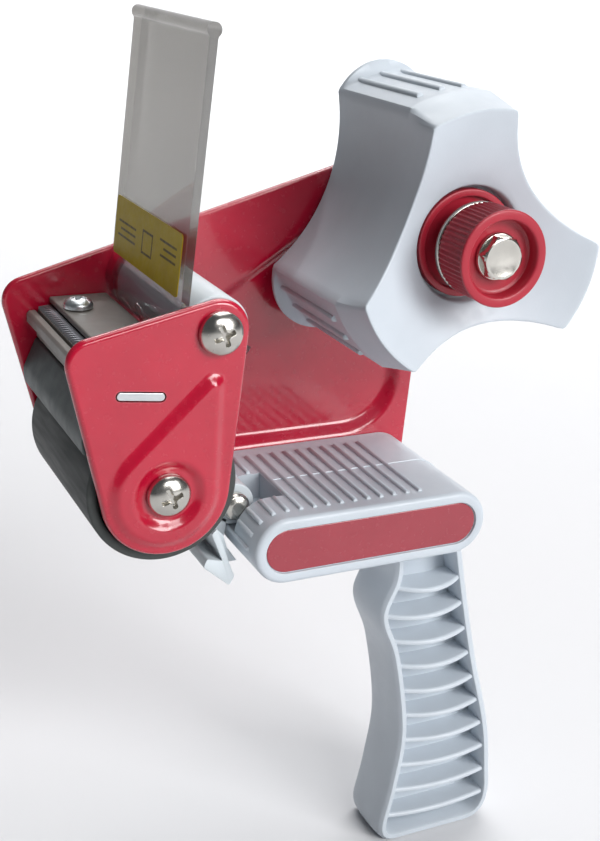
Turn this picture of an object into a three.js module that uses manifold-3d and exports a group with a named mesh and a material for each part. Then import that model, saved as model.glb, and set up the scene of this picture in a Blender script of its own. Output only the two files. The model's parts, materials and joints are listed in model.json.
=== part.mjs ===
// A hand-held packing tape dispenser: a pistol grip, a pressed side frame, a braked hub for the
// tape's core, a rubber roller, a cutting blade and a clear flap. Millimetres, +Z up.
// The hub's axis runs along Y through x = 0, z = 0, and the side frame's inner face is y = 0.
// Everything between the plates has a negative y. The last lines move the origin to the middle of
// the bottom of the whole object.
import * as THREE from "three";
import { mergeVertices } from "three/addons/utils/BufferGeometryUtils.js";
import Module from "manifold-3d";

const wasm = await Module();
wasm.setup();

// Driving dimensions.
const CORE_RADIUS = 37.5; // a 76 mm paper core slides over the hub
const SHEET = 1.6; // pressed steel plates
const INSIDE_WIDTH = 54.2; // between the two plates, for 50 mm tape
const GAP = 0.3; // running clearance and the gap between touching pieces
const NEAR_INSIDE = -INSIDE_WIDTH;
const NEAR_OUTSIDE = NEAR_INSIDE - SHEET;
const CLEAR_NEAR = NEAR_INSIDE + GAP;
const CLEAR_FAR = -GAP;

// Axes along Y, as [x, z].
const HUB = [0, 0];
const ROLLER = [-82.4, -51.6];
const GUIDE = [-70.3, -13.9];
const LEVER = [-55.5, -69];

const AXLE_RADIUS = 3;
const AXLE_BORE = AXLE_RADIUS + GAP;
const SCREW_RADIUS = 2;
const SCREW_BORE = SCREW_RADIUS + GAP;

// Handle: a stadium-shaped block across the tool, with the grip below it.
const BLOCK_RADIUS = 9;
const BLOCK_LEFT = [-47.5, -75.9];
const BLOCK_RIGHT = [1.7, -75.9];
const BLOCK_NEAR = -48;
const GRIP_NEAR = -37;
const GRIP_FAR = -18;
const GRIP_BOTTOM = -184;
const WALL = 2.5;

const FRONT_CORNER = [-100.2, -19.2];
const FRONT_CORNER_RADIUS = 6.2;
const LOBE_RADIUS = 15.6; // plates' rounded lobes about the roller's axis
const ROLLER_RADIUS = 18.2;
const GUIDE_RADIUS = 8;

const PAINT = { color: 0xb3122c, roughness: 0.3, metalness: 0 };
const GREY = { color: 0xbcc6cf, roughness: 0.45, metalness: 0 };
const PALE = { color: 0xc9d3da, roughness: 0.4, metalness: 0 };
const SLATE = { color: 0x46504f, roughness: 0.5, metalness: 0.2 };
const BLACK = { color: 0x17181a, roughness: 0.5, metalness: 0 };
const RUBBER = { color: 0x2c2e2f, roughness: 0.85, metalness: 0 };
const KNOB_RED = { color: 0xa81f35, roughness: 0.5, metalness: 0 };
const NICKEL = { color: 0xd6d4cf, roughness: 0.2, metalness: 1 };
const ZINC = { color: 0xb9c0c4, roughness: 0.35, metalness: 1 };
const STEEL = { color: 0x7c8186, roughness: 0.4, metalness: 1 };
const CLEAR = { color: 0xd9dcdc, roughness: 0.1, metalness: 0 };
const YELLOW = { color: 0xc9ae12, roughness: 0.6, metalness: 0 };
const INLAY_RED = { color: 0xa33648, roughness: 0.35, metalness: 0 };

const object = new THREE.Group();

// A closed geometry as a manifold solid.
function solid(geometry) {
  const bare = geometry.clone();
  bare.deleteAttribute("normal");
  bare.deleteAttribute("uv");
  const merged = mergeVertices(bare, 1e-4);
  return new wasm.Manifold(
    new wasm.Mesh({
      numProp: 3,
      vertProperties: merged.attributes.position.array,
      triVerts: new Uint32Array(merged.index.array),
    }),
  );
}

// A finished manifold solid as one named mesh of the object.
function piece(name, made, finish) {
  const { numProp, vertProperties, triVerts } = made.getMesh();
  const geometry = new THREE.BufferGeometry();
  const places = new THREE.InterleavedBuffer(vertProperties, numProp);
  geometry.setAttribute("position", new THREE.InterleavedBufferAttribute(places, 3, 0));
  geometry.setIndex(new THREE.BufferAttribute(triVerts, 1));
  const flat = geometry.toNonIndexed();
  flat.computeVertexNormals();
  const mesh = new THREE.Mesh(flat, new THREE.MeshStandardMaterial(finish));
  mesh.name = name;
  object.add(mesh);
}

// An outline in x and z, carried along Y from near to far.
function slab(shape, near, far, curveSegments = 5) {
  const geometry = new THREE.ExtrudeGeometry(shape, {
    depth: far - near,
    bevelEnabled: false,
    curveSegments,
  });
  geometry.rotateX(Math.PI / 2).translate(0, far, 0);
  return solid(geometry);
}

// An outline in x and y, carried up from one height to another.
function plateUp(shape, low, high) {
  const geometry = new THREE.ExtrudeGeometry(shape, { depth: high - low, bevelEnabled: false });
  return solid(geometry.translate(0, 0, low));
}

function box(x, y, z) {
  const geometry = new THREE.BoxGeometry(x[1] - x[0], y[1] - y[0], z[1] - z[0]);
  const middle = [x, y, z].map(([low, high]) => (low + high) / 2);
  return solid(geometry.translate(...middle));
}

// A profile of [radius, y] points turned about the Y axis through [x, z].
function turned(profile, [x, z], segments = 24) {
  const points = profile.map(([radius, y]) => new THREE.Vector2(radius, y));
  return solid(new THREE.LatheGeometry(points, segments).translate(x, 0, z));
}

function rod(radius, near, far, axis, segments = 20) {
  return turned([[0, near], [radius, near], [radius, far], [0, far]], axis, segments);
}

function tube(outer, inner, near, far, axis, segments = 24) {
  const profile = [[inner, near], [outer, near], [outer, far], [inner, far], [inner, near]];
  return turned(profile, axis, segments);
}

// The outline round a ring of circles {at: [x, z], radius}, listed anticlockwise: straight sides
// that touch two circles each, and an arc of each circle between them.
function around(circles) {
  const sides = circles.map((from, i) => {
    const to = circles[(i + 1) % circles.length];
    const run = new THREE.Vector2(to.at[0] - from.at[0], to.at[1] - from.at[1]);
    const lean = Math.asin((from.radius - to.radius) / run.length());
    return run.angle() - Math.PI / 2 + lean;
  });
  const shape = new THREE.Shape();
  circles.forEach(({ at, radius }, i) => {
    const start = sides[(i + circles.length - 1) % circles.length];
    shape.absarc(at[0], at[1], radius, start, sides[i], false);
  });
  return shape;
}

function circle(at, radius) {
  return { at, radius };
}

function polygon(points) {
  return new THREE.Shape(points.map(([x, y]) => new THREE.Vector2(x, y)));
}

function stadium(radius) {
  return around([circle(BLOCK_LEFT, radius), circle(BLOCK_RIGHT, radius)]);
}

function hexagon(acrossFlats, [x, z]) {
  const corner = acrossFlats / Math.sqrt(3);
  const points = [];
  for (let i = 0; i < 6; i += 1) {
    const turn = (i * Math.PI) / 3;
    points.push([x + corner * Math.cos(turn), z + corner * Math.sin(turn)]);
  }
  return polygon(points);
}

// Side frame: a plate with a pan pressed away from the tape roll, under the hub.
const PAN_DEPTH = 3;
const PAN_FLOOR = PAN_DEPTH + SHEET;
const PAN_CIRCLES = [
  circle([-45, -60.8], 6),
  circle([-8, -50], 16.8),
  circle([-2, -2], 10),
  circle([-53, -30.2], 6),
];
const HUB_BOLT_RADIUS = 3;
const FRAME_CORNER = circle([4.4, 5.7], 12);
const HANDLE_SCREWS = [[-30, -75.9], [-6, -75.9]];

function sideFrame() {
  const outline = around([
    circle(ROLLER, LOBE_RADIUS),
    circle(BLOCK_LEFT, BLOCK_RADIUS),
    circle(BLOCK_RIGHT, BLOCK_RADIUS),
    FRAME_CORNER,
    circle(FRONT_CORNER, FRONT_CORNER_RADIUS),
  ]);
  const grown = PAN_CIRCLES.map(({ at, radius }) => circle(at, radius + SHEET));
  let made = slab(outline, 0, SHEET)
    .add(slab(around(grown), 0, PAN_FLOOR))
    .subtract(slab(around(PAN_CIRCLES), -1, PAN_DEPTH))
    .subtract(rod(HUB_BOLT_RADIUS + GAP, -1, PAN_FLOOR + 1, HUB, 16))
    .subtract(tabHoles());
  for (const axis of [ROLLER, GUIDE, LEVER, ...HANDLE_SCREWS]) {
    made = made.subtract(rod(SCREW_BORE, -1, PAN_FLOOR + 1, axis, 12));
  }
  piece("side_frame", made, PAINT);
}

const NEAR_PLATE_TOP_RADIUS = 7.5;
const NEAR_PLATE_CORNER = [-99.5, -19];
const NEAR_PLATE_CORNER_RADIUS = 6;

function nearSidePlate() {
  const outline = around([
    circle(ROLLER, LOBE_RADIUS),
    circle(GUIDE, NEAR_PLATE_TOP_RADIUS),
    circle(NEAR_PLATE_CORNER, NEAR_PLATE_CORNER_RADIUS),
  ]);
  let made = slab(outline, NEAR_OUTSIDE, NEAR_INSIDE).subtract(tabHoles());
  for (const axis of [ROLLER, GUIDE]) {
    made = made.subtract(rod(SCREW_BORE, NEAR_OUTSIDE - 1, NEAR_INSIDE + 1, axis, 12));
  }
  piece("near_side_plate", made, PAINT);
}

// Blade: a holder bar across the plates, whose tabs sit in a slot of each plate.
const HOLDER_FRONT = -100.7;
const HOLDER_BACK = -80;
const HOLDER_TOP = -21.2;
const HOLDER_BOTTOM = -28.4;
const TAB_FRONT = [-93.4, -26.7];
const TAB_BACK = [-84.1, -27.8];
const TAB_RADIUS = 0.95;
const BLADE_THICKNESS = 0.8;
const BLADE_FRONT = -98;
const BLADE_TOOTH = 1.6;
const CLAMP_FRONT = -94.8;
const CLAMP_THICKNESS = 1.6;
const BLADE_SCREW_X = -90.8;
const BLADE_SCREWS = { near: -44, far: -13 };
const BLADE_SCREW_RADIUS = 1.7;
const BLADE_SCREW_DEPTH = 5;

function tabOutline(radius) {
  return around([circle(TAB_FRONT, radius), circle(TAB_BACK, radius)]);
}

function tabHoles() {
  return slab(tabOutline(TAB_RADIUS + GAP), NEAR_OUTSIDE - 1, PAN_FLOOR + 1);
}

// Something turned about the upright axis of each blade screw.
function atBladeScrews(profile) {
  const points = profile.map(([radius, z]) => new THREE.Vector2(radius, z));
  return Object.values(BLADE_SCREWS).map((y) => {
    const geometry = new THREE.LatheGeometry(points, 14).rotateX(Math.PI / 2);
    return solid(geometry.translate(BLADE_SCREW_X, y, 0));
  });
}

function bladeScrewHoles() {
  const radius = BLADE_SCREW_RADIUS + GAP;
  const low = HOLDER_TOP - BLADE_SCREW_DEPTH - GAP;
  const [near, far] = atBladeScrews([[0, low], [radius, low], [radius, 0], [0, 0]]);
  return near.add(far);
}

function bladeHolder() {
  const bar = polygon([
    [HOLDER_FRONT, HOLDER_TOP - 3.2],
    [HOLDER_FRONT + 2.4, HOLDER_TOP - 3.7],
    [HOLDER_FRONT + 2.4, HOLDER_BOTTOM],
    [HOLDER_BACK, HOLDER_BOTTOM],
    [HOLDER_BACK, HOLDER_TOP],
    [HOLDER_FRONT + 0.8, HOLDER_TOP],
    [HOLDER_FRONT, HOLDER_TOP - 0.8],
  ]);
  const made = slab(bar, CLEAR_NEAR, CLEAR_FAR)
    .add(slab(tabOutline(TAB_RADIUS), NEAR_OUTSIDE, SHEET))
    .subtract(bladeScrewHoles());
  piece("blade_holder", made, GREY);
}

function cuttingBlade() {
  const teeth = 24;
  const near = CLEAR_NEAR + 1;
  const far = CLEAR_FAR - 1;
  const pitch = (far - near) / teeth;
  const points = [[HOLDER_BACK - 4, near], [HOLDER_BACK - 4, far]];
  for (let i = teeth; i > 0; i -= 1) {
    points.push([BLADE_FRONT + BLADE_TOOTH, near + i * pitch]);
    points.push([BLADE_FRONT, near + (i - 0.5) * pitch]);
  }
  points.push([BLADE_FRONT + BLADE_TOOTH, near]);
  const low = HOLDER_TOP + GAP;
  const made = plateUp(polygon(points), low, low + BLADE_THICKNESS);
  piece("cutting_blade", made.subtract(bladeScrewHoles()), STEEL);
}

function bladeClamp() {
  const low = HOLDER_TOP + GAP + BLADE_THICKNESS + GAP;
  const made = box([CLAMP_FRONT, HOLDER_BACK], [CLEAR_NEAR, CLEAR_FAR], [low, low + CLAMP_THICKNESS]);
  piece("blade_clamp_plate", made.subtract(bladeScrewHoles()), GREY);
  const seat = low + CLAMP_THICKNESS + GAP;
  const foot = HOLDER_TOP - BLADE_SCREW_DEPTH;
  const [near, far] = atBladeScrews([
    [0, foot],
    [BLADE_SCREW_RADIUS, foot],
    [BLADE_SCREW_RADIUS, seat],
    [3.6, seat],
    [3.4, seat + 1.4],
    [2, seat + 2.4],
    [0, seat + 2.7],
  ]);
  piece("blade_screw_near", near, ZINC);
  piece("blade_screw_far", far, ZINC);
}

function frontCover() {
  const top = HOLDER_BOTTOM - GAP;
  const shape = polygon([
    [-98.6, top],
    [-102.1, -36.5],
    [-101.6, -40.3],
    [-100.4, -40.3],
    [-100.8, -36.7],
    [-97.4, top],
  ]);
  piece("front_cover_plate", slab(shape, CLEAR_NEAR, CLEAR_FAR), SLATE);
}

// Roller and guide roller, each on an axle held by a screw at either end.
const AXLE_SCREW_DEPTH = 9;

function panHead(radius, height, seat, away) {
  const reach = (share) => seat + away * height * share;
  const profile = [
    [0, seat],
    [radius, seat],
    [radius, reach(0.25)],
    [radius * 0.85, reach(0.7)],
    [radius * 0.5, reach(0.94)],
    [0, reach(1)],
  ];
  return away > 0 ? profile : profile.reverse();
}

// The axle between the plates, and the two pan-head screws that hold it.
function axle(name, axis) {
  const hollow = AXLE_SCREW_DEPTH + SHEET;
  const shaft = rod(AXLE_RADIUS, CLEAR_NEAR, CLEAR_FAR, axis, 20)
    .subtract(rod(SCREW_BORE, CLEAR_NEAR - 1, CLEAR_NEAR + hollow, axis, 12))
    .subtract(rod(SCREW_BORE, CLEAR_FAR - hollow, CLEAR_FAR + 1, axis, 12));
  piece(`${name}_axle`, shaft, STEEL);
  const nearSeat = NEAR_OUTSIDE - GAP;
  const farSeat = SHEET + GAP;
  const shank = hollow + GAP;
  const near = turned(panHead(5.2, 3.4, nearSeat, -1), axis, 24)
    .add(rod(SCREW_RADIUS, nearSeat - 1, nearSeat + shank, axis, 12));
  const far = turned(panHead(5.2, 3.4, farSeat, 1), axis, 24)
    .add(rod(SCREW_RADIUS, farSeat - shank, farSeat + 1, axis, 12));
  piece(`${name}_screw_near`, near, NICKEL);
  piece(`${name}_screw_far`, far, NICKEL);
}

function roller() {
  const near = -52.6;
  const far = -1.5;
  const rubber = 2.5;
  const inside = ROLLER_RADIUS - rubber;
  piece("roller_sleeve", tube(ROLLER_RADIUS, inside, near, far, ROLLER, 48), RUBBER);
  const rim = inside - GAP;
  const inset = 6;
  const middle = (near + far) / 2;
  const core = tube(rim, rim - WALL, near + inset, far - inset, ROLLER, 36)
    .add(tube(AXLE_BORE + WALL, AXLE_BORE, near, far, ROLLER, 20))
    .add(tube(rim - 1, AXLE_BORE + 1, middle - WALL, middle + WALL, ROLLER, 20));
  piece("roller_core", core, BLACK);
}

const SPRING_WIDTH = 7;
const GUIDE_FAR = CLEAR_FAR - SPRING_WIDTH - 2 * GAP;

function guideRoller() {
  const near = CLEAR_NEAR + GAP;
  piece("guide_roller", tube(GUIDE_RADIUS, AXLE_BORE, near, GUIDE_FAR, GUIDE, 28), PALE);
}

// A coil of round wire about a Y axis, with flat-cut ends.
function coil(radius, wire, turns, near, far, [x, z]) {
  class Helix extends THREE.Curve {
    getPoint(share) {
      const turn = 2 * Math.PI * turns * share;
      const y = near + (far - near) * share;
      return new THREE.Vector3(x + radius * Math.cos(turn), y, z + radius * Math.sin(turn));
    }
  }
  const section = new THREE.Shape().absarc(0, 0, wire, 0, 2 * Math.PI, false);
  const steps = Math.round(turns * 12);
  const geometry = new THREE.ExtrudeGeometry(section, {
    extrudePath: new Helix(),
    steps,
    curveSegments: 3,
    bevelEnabled: false,
  });
  return solid(geometry);
}

function flapSpring() {
  const wire = 0.6;
  const near = GUIDE_FAR + GAP + wire;
  const far = CLEAR_FAR - GAP - wire;
  piece("flap_spring", coil(5.5, wire, 3.5, near, far, GUIDE), STEEL);
}

// Clear flap: a leaning sheet whose lower end is a barrel round the guide roller.
const FLAP_THICKNESS = 2;
const FLAP_TOP = 52.4;
const FLAP_LEAN = THREE.MathUtils.degToRad(5.8);
const FLAP_NEAR = -53;
const FLAP_FAR = -1.5;
const BARREL_INSIDE = GUIDE_RADIUS + GAP;
const BARREL_OUTSIDE = BARREL_INSIDE + 1.9;
const FLAP_FRONT_OFFSET = BARREL_OUTSIDE - 1.3;
const BEAD_RADIUS = 1.7;
const LABEL_UP = [6.4, 20.8];
const LABEL_THICKNESS = 0.3;

// A point of the flap: how far up the sheet from the guide's axis, and how far in front of it.
function onFlap(up, front) {
  const x = GUIDE[0] + up * Math.sin(FLAP_LEAN) - front * Math.cos(FLAP_LEAN);
  return [x, GUIDE[1] + up * Math.cos(FLAP_LEAN) + front * Math.sin(FLAP_LEAN)];
}

function clearFlap() {
  const height = (FLAP_TOP - GUIDE[1]) / Math.cos(FLAP_LEAN);
  const front = FLAP_FRONT_OFFSET;
  const sheet = polygon([
    onFlap(-2, front),
    onFlap(-2, front - FLAP_THICKNESS),
    onFlap(6, front - FLAP_THICKNESS),
    onFlap(height, front - FLAP_THICKNESS),
    onFlap(height, front),
  ]);
  const bead = new THREE.Shape();
  bead.absarc(...onFlap(height - BEAD_RADIUS, front - 1), BEAD_RADIUS, 0, 2 * Math.PI, false);
  const barrel = new THREE.Shape();
  const from = THREE.MathUtils.degToRad(150);
  const to = THREE.MathUtils.degToRad(330);
  barrel.absarc(...GUIDE, BARREL_OUTSIDE, from, to, false);
  barrel.absarc(...GUIDE, BARREL_INSIDE, to, from, true);
  const made = slab(sheet, FLAP_NEAR, FLAP_FAR)
    .add(slab(bead, FLAP_NEAR, FLAP_FAR, 6))
    .add(slab(barrel, FLAP_NEAR, FLAP_FAR, 9))
    .subtract(rod(BARREL_INSIDE, FLAP_NEAR - 1, FLAP_FAR + 1, GUIDE, 36));
  piece("clear_flap", made, CLEAR);
  const label = polygon([
    onFlap(LABEL_UP[0], front + GAP),
    onFlap(LABEL_UP[1], front + GAP),
    onFlap(LABEL_UP[1], front + GAP + LABEL_THICKNESS),
    onFlap(LABEL_UP[0], front + GAP + LABEL_THICKNESS),
  ]);
  piece("flap_label", slab(label, FLAP_NEAR + 2, FLAP_FAR - 2), YELLOW);
}

// Handle: the block and the grip, one moulding, held to the side frame by two screws from behind.
const NOTCH_Y = [-33.5, -17.5];
const NOTCH_RIGHT = -43;
const RIBS = 11;
const RIB_FIRST = -7.6;
const RIB_PITCH = 3.85;
const RIB_HALF = 0.6;
const RIB_NEAR = -43.4;
const RIB_FAR = -5.8;
const INLAY_RADIUS = 5.8;
const INLAY_POCKET = 0.8;
const BLOCK_FAR = -GAP;
const LEVER_BOSS = 5.6; // radius of the lever's boss, which turns in the notch

function gripOutline(inset) {
  const front = [[-10.5, -80], [-9.1, -95], [-12.9, -107.3], [-8, -122], [-4.2, -146], [-6.3, -172]];
  const back = [[28.6, -171.5], [26, -151], [19.5, -127], [14.2, -104], [9.3, -80]];
  const [toe, heel] = [-1, 20];
  const shape = new THREE.Shape();
  const first = front[0];
  shape.moveTo(first[0] + inset, first[1]);
  shape.splineThru(front.slice(1).map(([x, z]) => new THREE.Vector2(x + inset, z)));
  const low = GRIP_BOTTOM + inset;
  shape.quadraticCurveTo(-9.8 + inset, low, toe, low);
  shape.lineTo(heel, low);
  shape.quadraticCurveTo(29.2 - inset, low, back[0][0] - inset, back[0][1]);
  shape.splineThru(back.slice(1).map(([x, z]) => new THREE.Vector2(x - inset, z)));
  return shape;
}

// The pockets between the grip's fins, on both sides of its middle web.
function gripPockets() {
  const middle = (GRIP_NEAR + GRIP_FAR) / 2;
  const inside = gripOutline(WALL);
  const web = 1.5;
  let pockets = slab(inside, GRIP_NEAR - 1, middle - web, 3)
    .add(slab(inside, middle + web, GRIP_FAR + 1, 3));
  const fins = 10;
  const top = -99;
  const pitch = 8.5;
  const half = 1;
  for (let i = 0; i < fins; i += 1) {
    const z = top - i * pitch;
    pockets = pockets.subtract(box([-40, 40], [GRIP_NEAR - 2, GRIP_FAR + 2], [z - half, z + half]));
  }
  const ceiling = BLOCK_LEFT[1] - BLOCK_RADIUS - 1;
  return pockets.subtract(box([-40, 40], [GRIP_NEAR - 2, GRIP_FAR + 2], [ceiling, 0]));
}

function handle() {
  const room = LEVER_BOSS + 2 * GAP;
  const hollow = around([
    circle([NOTCH_RIGHT + 12, BLOCK_LEFT[1]], BLOCK_RADIUS - WALL),
    circle(BLOCK_RIGHT, BLOCK_RADIUS - WALL),
  ]);
  const floor = BLOCK_NEAR + 3;
  const pocket = slab(stadium(INLAY_RADIUS + GAP), BLOCK_NEAR - 1, BLOCK_NEAR + INLAY_POCKET, 8);
  let made = slab(stadium(BLOCK_RADIUS), BLOCK_NEAR, BLOCK_FAR, 8)
    .subtract(slab(hollow, floor, 1, 6))
    .add(slab(gripOutline(0), GRIP_NEAR, GRIP_FAR, 3).subtract(gripPockets()))
    .subtract(pocket)
    .subtract(box([-70, NOTCH_RIGHT], NOTCH_Y, [-74, -60]))
    .subtract(rod(room, ...NOTCH_Y, LEVER, 24))
    .subtract(rod(SCREW_BORE, NOTCH_Y[1] - 1, 1, LEVER, 12));
  const top = BLOCK_LEFT[1] + BLOCK_RADIUS;
  for (let i = 0; i < RIBS; i += 1) {
    const x = RIB_FIRST - i * RIB_PITCH;
    const far = x < NOTCH_RIGHT ? NOTCH_Y[0] - 1 : RIB_FAR;
    made = made.add(box([x - RIB_HALF, x + RIB_HALF], [RIB_NEAR, far], [top - 1, top + RIB_HALF]));
  }
  for (const axis of HANDLE_SCREWS) {
    made = made
      .add(rod(5, floor - 1, BLOCK_FAR, axis, 20))
      .subtract(rod(SCREW_BORE, -14, 1, axis, 12));
  }
  piece("handle", made, GREY);
  const inlay = slab(stadium(INLAY_RADIUS), BLOCK_NEAR + 0.1, BLOCK_NEAR + INLAY_POCKET - GAP, 8);
  piece("handle_inlay", inlay, INLAY_RED);
  const names = ["handle_screw_front", "handle_screw_back"];
  HANDLE_SCREWS.forEach((axis, i) => {
    const seat = SHEET + GAP;
    const screw = turned(panHead(4.2, 2.8, seat, 1), axis, 24)
      .add(rod(SCREW_RADIUS, -12, seat + 1, axis, 12));
    piece(names[i], screw, ZINC);
  });
}

// Retaining lever: hangs on a bolt in the handle's notch and keeps the tape from running back.
const LEVER_SPRING_WIDTH = 3.6;

function lever() {
  const near = -30;
  const springFar = NOTCH_Y[1] - GAP;
  const far = springFar - LEVER_SPRING_WIDTH - GAP;
  const arm = polygon([
    [-56, -64],
    [-61, -66.5],
    [-64.2, -70.6],
    [-60.2, -82.2],
    [-58.4, -80],
    [-57.4, -74.2],
  ]);
  const foot = polygon([
    [-63.7, -70.3],
    [-65.3, -71.8],
    [-62.2, -79.6],
    [-66.4, -78.4],
    [-67.4, -80.6],
    [-60.2, -86.9],
    [-58.8, -84.3],
    [-59.6, -82.6],
  ]);
  const made = rod(LEVER_BOSS, near, far, LEVER, 24)
    .add(slab(arm, near, far))
    .add(slab(foot, -40, -13))
    .subtract(rod(AXLE_BORE, near - 1, far + 1, LEVER, 20));
  piece("retaining_lever", made, PALE);
  const head = near - 3;
  const seat = near - GAP;
  const profile = [[0, head], [4.4, head], [4.6, head + 0.5], [4.6, seat], [0, seat]];
  const bolt = turned(profile, LEVER, 24)
    .add(rod(AXLE_RADIUS, near - 1, springFar, LEVER, 20))
    .add(rod(SCREW_RADIUS, near - 1, SHEET + 5, LEVER, 12));
  piece("lever_bolt", bolt, NICKEL);
  const wire = 0.45;
  const spring = coil(AXLE_RADIUS + 2 * wire, wire, 3, far + GAP + wire, springFar - wire, LEVER);
  piece("lever_spring", spring, STEEL);
  const nut = slab(hexagon(7, LEVER), SHEET + GAP, SHEET + 3.4)
    .subtract(rod(SCREW_BORE, 0, SHEET + 9, LEVER, 12));
  piece("lever_nut", nut, ZINC);
}

// Tape hub: three lobes that the core slides over, with hollows between them, open behind.
const HUB_FAR = -3;
const HUB_STEP = -41.4; // where the lobes start to taper
const HUB_NEAR = -53.2;
const HUB_TIP = 34.35; // lobe radius at the near end
const DISH_RADIUS = 14.8;
const DISH_FLOOR = -41;
const DISH_RIM = -45.5;
const LOBE_TURN = THREE.MathUtils.degToRad(99.7); // direction of the upper lobe
const LOBE_HALF = THREE.MathUtils.degToRad(18.5);
const VALLEY_RADIUS = 21;
const LIP_RADIUS = 14.2; // a round lip at each lobe's far end stops the core
const LIP_CENTRE = 27;
const LIP_THICKNESS = 1.5;

const TIP_RIB_NEAR = -37.5;
const TIP_RIB_RADIUS = 0.9; // three ribs on each lobe grip the core
const TIP_RIB_SPREAD = THREE.MathUtils.degToRad(9.5);

// The hollow side between two lobes is an arc about a point outside the hub. It touches the valley
// radius and runs through both lobes' corners.
const CORNER_SPREAD = Math.PI / 3 - LOBE_HALF;
const CORNER_ACROSS = CORE_RADIUS * Math.sin(CORNER_SPREAD);
const CORNER_RISE = CORE_RADIUS * Math.cos(CORNER_SPREAD) - VALLEY_RADIUS;
const HOLLOW_RADIUS = (CORNER_ACROSS ** 2 + CORNER_RISE ** 2) / (2 * CORNER_RISE);
const HOLLOW_CENTRE = VALLEY_RADIUS + HOLLOW_RADIUS;

// The corner of a triangle between two of its sides, opposite the third.
function cornerBetween(a, b, opposite) {
  return Math.acos((a ** 2 + b ** 2 - opposite ** 2) / (2 * a * b));
}

// Three arcs of a tip radius joined by the three hollow sides, moved in by an inset.
function hubOutline(tip, inset) {
  const hollow = HOLLOW_RADIUS + inset;
  const sweep = cornerBetween(HOLLOW_CENTRE, hollow, tip);
  const half = Math.PI / 3 - cornerBetween(HOLLOW_CENTRE, tip, hollow);
  const shape = new THREE.Shape();
  for (let i = 0; i < 3; i += 1) {
    const lobe = LOBE_TURN + (i * 2 * Math.PI) / 3;
    shape.absarc(0, 0, tip, lobe - half, lobe + half, false);
    const dip = lobe + Math.PI / 3;
    const back = dip + Math.PI;
    const centre = [HOLLOW_CENTRE * Math.cos(dip), HOLLOW_CENTRE * Math.sin(dip)];
    shape.absarc(...centre, hollow, back + sweep, back - sweep, true);
  }
  return shape;
}

function hub() {
  const boss = 7;
  const outside = turned([
    [0, DISH_FLOOR],
    [DISH_RADIUS, DISH_FLOOR],
    [DISH_RADIUS, DISH_RIM],
    [HUB_TIP, HUB_NEAR],
    [CORE_RADIUS, HUB_STEP],
    [CORE_RADIUS, HUB_FAR],
    [0, HUB_FAR],
  ], HUB, 54);
  const inside = turned([
    [0, DISH_FLOOR + WALL],
    [DISH_RADIUS + WALL, DISH_FLOOR + WALL],
    [HUB_TIP - WALL, HUB_NEAR + WALL + 1],
    [CORE_RADIUS - WALL, HUB_STEP],
    [CORE_RADIUS - WALL, HUB_FAR + 1],
    [0, HUB_FAR + 1],
  ], HUB, 36);
  const lipReach = LIP_CENTRE + LIP_RADIUS;
  const body = slab(hubOutline(lipReach, 0), HUB_NEAR - 1, HUB_FAR, 7);
  const room = slab(hubOutline(CORE_RADIUS, WALL), HUB_NEAR, HUB_FAR + 1, 6).intersect(inside);
  let made = body.intersect(outside);
  for (let i = 0; i < 3; i += 1) {
    const lobe = LOBE_TURN + (i * 2 * Math.PI) / 3;
    const at = [LIP_CENTRE * Math.cos(lobe), LIP_CENTRE * Math.sin(lobe)];
    const lip = rod(LIP_RADIUS, HUB_FAR - LIP_THICKNESS, HUB_FAR, at, 32);
    made = made.add(lip.intersect(body));
    for (const spread of [-TIP_RIB_SPREAD, 0, TIP_RIB_SPREAD]) {
      const rib = [CORE_RADIUS * Math.cos(lobe + spread), CORE_RADIUS * Math.sin(lobe + spread)];
      made = made.add(rod(TIP_RIB_RADIUS, TIP_RIB_NEAR, HUB_FAR - 1, rib, 6));
    }
  }
  made = made
    .subtract(room)
    .add(rod(boss, DISH_FLOOR + 1, HUB_FAR, HUB, 24))
    .subtract(rod(HUB_BOLT_RADIUS + GAP, DISH_FLOOR - 1, HUB_FAR + 1, HUB, 24));
  piece("tape_hub", made, GREY);
}

// The hub's bolt and, on its near end, the brake: cup, spring, washer and knurled knob.
const BOLT_HEAD_NEAR = -61.6;
const BOLT_HEAD_SEAT = -58.3;
const KNOB_NEAR = -61.8;
const KNOB_FAR = -50.1;
const KNOB_RADIUS = 12;
const KNOB_TOOTH = 0.7;
const KNOB_CUP_RADIUS = 9.5; // the hollow in the knob round the bolt's head
const WASHER_FAR = -48.2;
const WASHER_RADIUS = 12.3;
const CUP_NEAR = -44.3;
const CUP_RADIUS = 13.7;
const CUP_WALL = 1.8;
const CUP_FLOOR = 1.5;

function hubBolt() {
  const shaft = rod(HUB_BOLT_RADIUS, BOLT_HEAD_SEAT - 1, PAN_FLOOR + 6, HUB, 20);
  const head = slab(hexagon(10, HUB), BOLT_HEAD_NEAR, BOLT_HEAD_SEAT - 0.5)
    .intersect(turned([
      [0, BOLT_HEAD_NEAR], [4.7, BOLT_HEAD_NEAR], [5.9, BOLT_HEAD_NEAR + 0.8],
      [5.9, BOLT_HEAD_SEAT], [0, BOLT_HEAD_SEAT],
    ], HUB, 20));
  const flange = rod(6, BOLT_HEAD_SEAT - 0.8, BOLT_HEAD_SEAT, HUB, 20);
  piece("hub_bolt", shaft.add(head).add(flange), NICKEL);
  const nut = slab(hexagon(10, HUB), PAN_FLOOR + GAP, PAN_FLOOR + 5.2)
    .subtract(rod(HUB_BOLT_RADIUS + GAP, 0, PAN_FLOOR + 9, HUB, 20));
  piece("hub_nut", nut, ZINC);
  piece("hub_spacer", tube(6, HUB_BOLT_RADIUS + GAP, HUB_FAR + GAP, PAN_DEPTH - GAP, HUB, 20), STEEL);
}

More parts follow.
